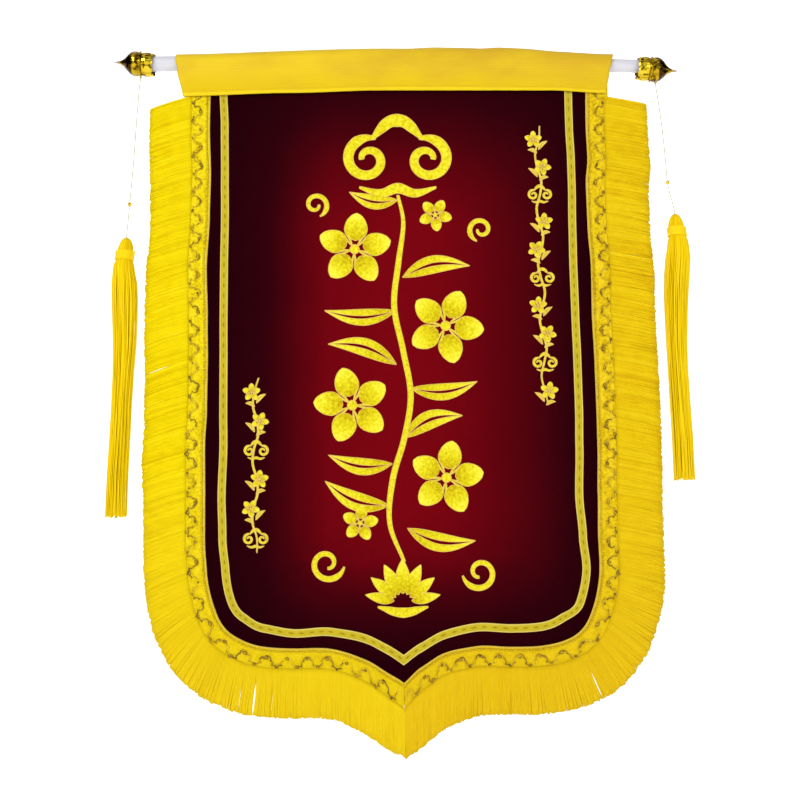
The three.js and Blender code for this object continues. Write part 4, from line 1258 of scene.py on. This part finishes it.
def blossom(centre, radius, turn):
    parts = []
    for k in range(BLOSSOM_PETALS):
        way = turn + 360 * k / BLOSSOM_PETALS
        parts += petal(centre, way, radius * 0.24, radius, radius * 1.55 / BLOSSOM_PETALS, 0.55)
        for lean in (-9, 9):
            stamen = [polar(centre, radius * 0.1, way + 36), polar(centre, radius * 0.42, way + 36 + lean)]
            parts += column(stamen, radius * np.array([0.012, 0.02, 0.045]))
    eye = [polar(centre, radius * 0.13, a) for a in (270, 90)]
    parts += column(eye, radius * 0.13 * np.sqrt(np.maximum(0.02, 1 - np.linspace(-1, 1, 9) ** 2)))
    return parts


def leaf(start, end, bend, width):
    """A leaf of two columns that meet at a midrib. bend pushes its middle sideways."""
    start, end = np.asarray(start, float), np.asarray(end, float)
    way = end - start
    side = unit(np.array([-way[1], way[0]]))
    parts = []
    for half in (-1, 1):
        t = np.linspace(0, 1, 9)[:, None]
        swell = np.sin(math.pi * t ** 0.85)
        spine = start + way * t + side * (bend * np.sin(math.pi * t) + half * width * 0.52 * swell)
        parts += column(spine, width * 0.44 * np.maximum(swell[:, 0], 0.03), slant=0.7 * half, shade=0.5)
    return parts


def curl(centre, radius, start, turns, width):
    """A spiral column that winds in from its open end."""
    t = np.linspace(0, 1, 26)
    spine = [polar(centre, radius * (1 - 0.74 * k), start + 360 * turns * k) for k in t]
    return column(spine, width * np.interp(t, [0, 0.15, 0.8, 1], [0.25, 1, 0.8, 0.5]))


# A cloud's two bows, as shares of its size
CLOUD_CROWN = {
    "across": [-0.3, -0.12, 0, 0.12, 0.3],
    "down": [-0.24, -0.43, -0.47, -0.43, -0.24],
    "half": [0.015, 0.06, 0.075, 0.06, 0.015],
}
CLOUD_TAIL = {
    "across": [-0.44, -0.2, 0, 0.2, 0.44],
    "down": [0.33, 0.4, 0.34, 0.4, 0.33],
    "half": [0.012, 0.045, 0.06, 0.045, 0.012],
}


def cloud(centre, size, flip=1):
    """A cloud head: two curls that face each other, a crown between them and a tail."""
    x, d = centre
    parts = []
    for way in (flip, -flip):
        parts += curl((x - 0.34 * size * way, d), 0.27 * size, 20 * way, -1.3 * way, 0.06 * size)
    for bow in (CLOUD_CROWN, CLOUD_TAIL):
        spine = [(x + size * a, d + size * b) for a, b in zip(bow["across"], bow["down"])]
        parts += column(spine, size * np.array(bow["half"]))
    return parts


LOTUS_PETALS = [
    # way, reach and width, as shares of the radius
    (-78, 0.95, 0.13), (78, 0.95, 0.13), (-52, 1.0, 0.15), (52, 1.0, 0.15),
    (-26, 1.04, 0.165), (26, 1.04, 0.165), (0, 1.08, 0.18),
]


def lotus(centre, radius):
    parts = []
    for way, reach, width in LOTUS_PETALS:
        parts += petal(centre, way, radius * 0.22, radius * reach, radius * width, 0.9)
    x, d = centre
    base = [(x + radius * a, d + radius * b) for a, b in ((-0.62, 0.1), (0, 0.24), (0.62, 0.1))]
    parts += column(base, radius * np.array([0.02, 0.09, 0.12, 0.09, 0.02]))
    return parts


def vine(points, width):
    return column(points, width * np.array([0.55, 1, 1, 1, 1, 0.5]))


BLOSSOMS = [
    # across, down, radius, turn
    (52, 508, 43, 10), (-56, 424, 45, -14), (54, 330, 45, 24), (-52, 238, 44, 4), (44, 196, 20, 30),
    (-48, 560, 21, 8),
]
LEAVES = [
    # start across and down, end across and down, bend, width
    (6, 566, 84, 580, 9, 12), (-14, 540, -88, 512, -9, 12), (-10, 492, -84, 482, -8, 11),
    (4, 462, 72, 436, -9, 12), (-4, 376, -84, 352, 9, 12), (12, 404, 90, 396, 8, 11),
    (-4, 312, -88, 312, -8, 11), (4, 272, 84, 258, -9, 12), (0, 178, -58, 168, -7, 10),
]
CURLS = [
    # across, down, radius, start in degrees, turns, half width
    (-86, 606, 20, 100, 1.2, 3.2), (88, 616, 20, -100, -1.2, 3.2),
    (-98, 184, 15, 160, -1.2, 2.8), (98, 214, 15, -160, 1.2, 2.8),
]
SIDE_SPRAYS = [
    # across, first down, last down, seed
    (168, 86, 424, 1), (-168, 392, 594, 2),
]
STEM = [
    (2, 604), (-14, 560), (-10, 510), (4, 462), (12, 412), (4, 360), (-6, 306), (0, 252), (6, 206), (0, 172),
]


def side_spray(across, top, bottom, seed):
    """A thin stem with small blossoms and leaves by turns."""
    count = round((bottom - top) / 34)
    downs = np.linspace(top, bottom, count * 2 + 1)
    stem = [(across + 3.5 * math.sin(k * 1.6 + seed), d) for k, d in enumerate(downs)]
    parts = vine(stem, 1.1)
    for k in range(count):
        d = downs[2 * k] + 17
        way = 1 if k % 2 else -1
        if k % 3 == 2:
            parts += cloud((across + 1, d + 1), 23, way)
            continue
        parts += blossom((across + 5 * way, d), 10.5, 25 * k)
        parts += leaf((across - 1 * way, d + 13), (across - 12 * way, d + 2), 2 * way, 2.6)
        parts += leaf((across + 1 * way, d + 17), (across + 12 * way, d + 13), -2 * way, 2.4)
    return parts


def embroidery_parts():
    parts = vine(STEM, 3.2) + cloud((0, 128), 104) + lotus((0, 650), 46)
    for across, down, *form in CURLS:
        parts += curl((across, down), *form)
    for across, down, radius, turn in BLOSSOMS:
        parts += blossom((across, down), radius, turn)
    for a, b, c, d, *form in LEAVES:
        parts += leaf((a, b), (c, d), *form)
    for spray in SIDE_SPRAYS:
        parts += side_spray(*spray)
    return parts


# Seams on the panel's back, where the trims were sewn through

def back_seam_parts():
    parts = []
    for side in SIDES:
        along = np.arange(8, EDGE_LENGTH - 3, 2.0)
        seams = [edge_point(side, along, np.full(len(along), offset)) for offset in (2.5, 17)]
        seams.append(offset_point(along, -table_at(UNEVEN[side], "along", along, "inset")))
        for seam in seams:
            line = laid(side, seam, VELVET / 2)
            parts.append(stitches(line, BACK_STITCH, facing=(0, 1, 0)))
    return parts


# Light and backdrop

BACKDROP = {"front": -6000, "floor": -1150, "wall": 3500, "bend": 900, "top": 4200, "half_width": 6500}
LIGHTS = [
    # name, place, size, power
    ("key", (-1.5, -2.3, 1.0), (0.9, 0.9), 40),
    ("fill", (1.8, -1.9, 0.1), (1.4, 1.8), 17),
    ("back", (0.3, 2.2, 1.0), (2.0, 1.2), 14),
]
LIGHTS_AIM = np.array([0, 0, -0.4])


def add_backdrop():
    turn = np.linspace(0, math.pi / 2, 13)
    bend = BACKDROP["bend"]
    y = BACKDROP["wall"] - bend * (1 - np.sin(turn))
    z = BACKDROP["floor"] + bend * (1 - np.cos(turn))
    y = np.concatenate([[BACKDROP["front"]], y, [BACKDROP["wall"]]])
    z = np.concatenate([[BACKDROP["floor"]], z, [BACKDROP["top"]]])
    part = grid([[(x, *at) for x in (-BACKDROP["half_width"], BACKDROP["half_width"])] for at in zip(y, z)])
    mesh = bpy.data.meshes.new("backdrop")
    mesh.from_pydata((part["vertices"] * MM).tolist(), [], part["faces"][0][0].tolist())
    mesh.materials.append(backdrop_finish())
    for polygon in mesh.polygons:
        polygon.use_smooth = True
    backdrop = bpy.data.objects.new("backdrop", mesh)
    bpy.context.scene.collection.objects.link(backdrop)


def add_light(name, location, size, power):
    data = bpy.data.lights.new(name, "AREA")
    data.shape = "RECTANGLE"
    data.size, data.size_y = size
    data.energy = power
    light = bpy.data.objects.new(name, data)
    light.location = location
    x, y, z = LIGHTS_AIM - location
    light.rotation_euler = (math.atan2(math.hypot(x, y), -z), 0, math.atan2(x, -y) + math.pi)
    bpy.context.scene.collection.objects.link(light)


def add_world():
    """A pale studio. Only reflections show the dark shapes that stand in it."""
    world = bpy.data.worlds.new("studio")
    world.use_nodes = True
    f = Nodes(world.node_tree)
    way = f.node("TexCoord").outputs["Generated"]
    shapes = f.node("TexNoise", {"Vector": way, "Scale": 3.2, "Detail": 0.5, "Distortion": 0.8}).outputs[0]
    across = f.node("SeparateXYZ", {0: way}).outputs["X"]
    beside = f.math("POWER", f.math("ABSOLUTE", across), 3.0)
    level = f.math("MULTIPLY_ADD", beside, -0.16, shapes)
    seen = f.ramp(level, [(0.475, (0.015, 0.01, 0.012, 1)), (0.505, (1, 1, 1, 1))])
    shade = f.mix(f.node("LightPath").outputs["Is Camera Ray"], seen, (0.95, 0.95, 0.96, 1))
    background = f.tree.nodes["Background"]
    f.tree.links.new(shade, background.inputs["Color"])
    background.inputs["Strength"].default_value = 0.95
    bpy.context.scene.world = world


add_camera()
for side in SIDES:
    add_thread(side)

rod = piece("white_rod", rod_parts(), [WHITE_PLASTIC])
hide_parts("rod")
for side in SIDES:
    finial = piece(f"bud_finial_{side}", finial_parts(side), [GOLD_WITH_PAINTED_REFLECTIONS, WORN_TIP])
    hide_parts(f"finial_{side}")
    tassel = piece(f"silk_tassel_{side}", tassel_parts(side), [TASSEL_SILK])
    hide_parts(f"tassel_{side}")

add_sleeve()
trims = []
for side in SIDES:
    braid = piece(f"scroll_braid_{side}", braid_parts(side), [BRAID_YARN[side], EDGE_YARN, GIMP])
    strands = piece(f"fringe_strands_{side}", strand_parts(side), [SILK[side]])
    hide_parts(f"fringe_{side}")
    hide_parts(f"fringe_{side}")
    trims += [braid, strands]
ribbon_mesh, ribbon_map = ribbon_parts()
ribbon = piece("woven_ribbon", ribbon_mesh, [RIBBON_WEAVE, RIBBON_EDGE], ribbon_map)
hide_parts("ribbon")
embroidery = piece("embroidery", embroidery_parts(), [STITCH_SILK, OUTLINE_SILK])
back_seams = piece("back_seams", back_seam_parts(), [BACK_SEWING])
panel = piece("velvet_panel", panel_parts(), [VELVET_CLOTH, LINING])
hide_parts("panel")

add_backdrop()
add_world()
for light in LIGHTS:
    add_light(*light)
bpy.context.scene.view_settings.view_transform = "Standard"
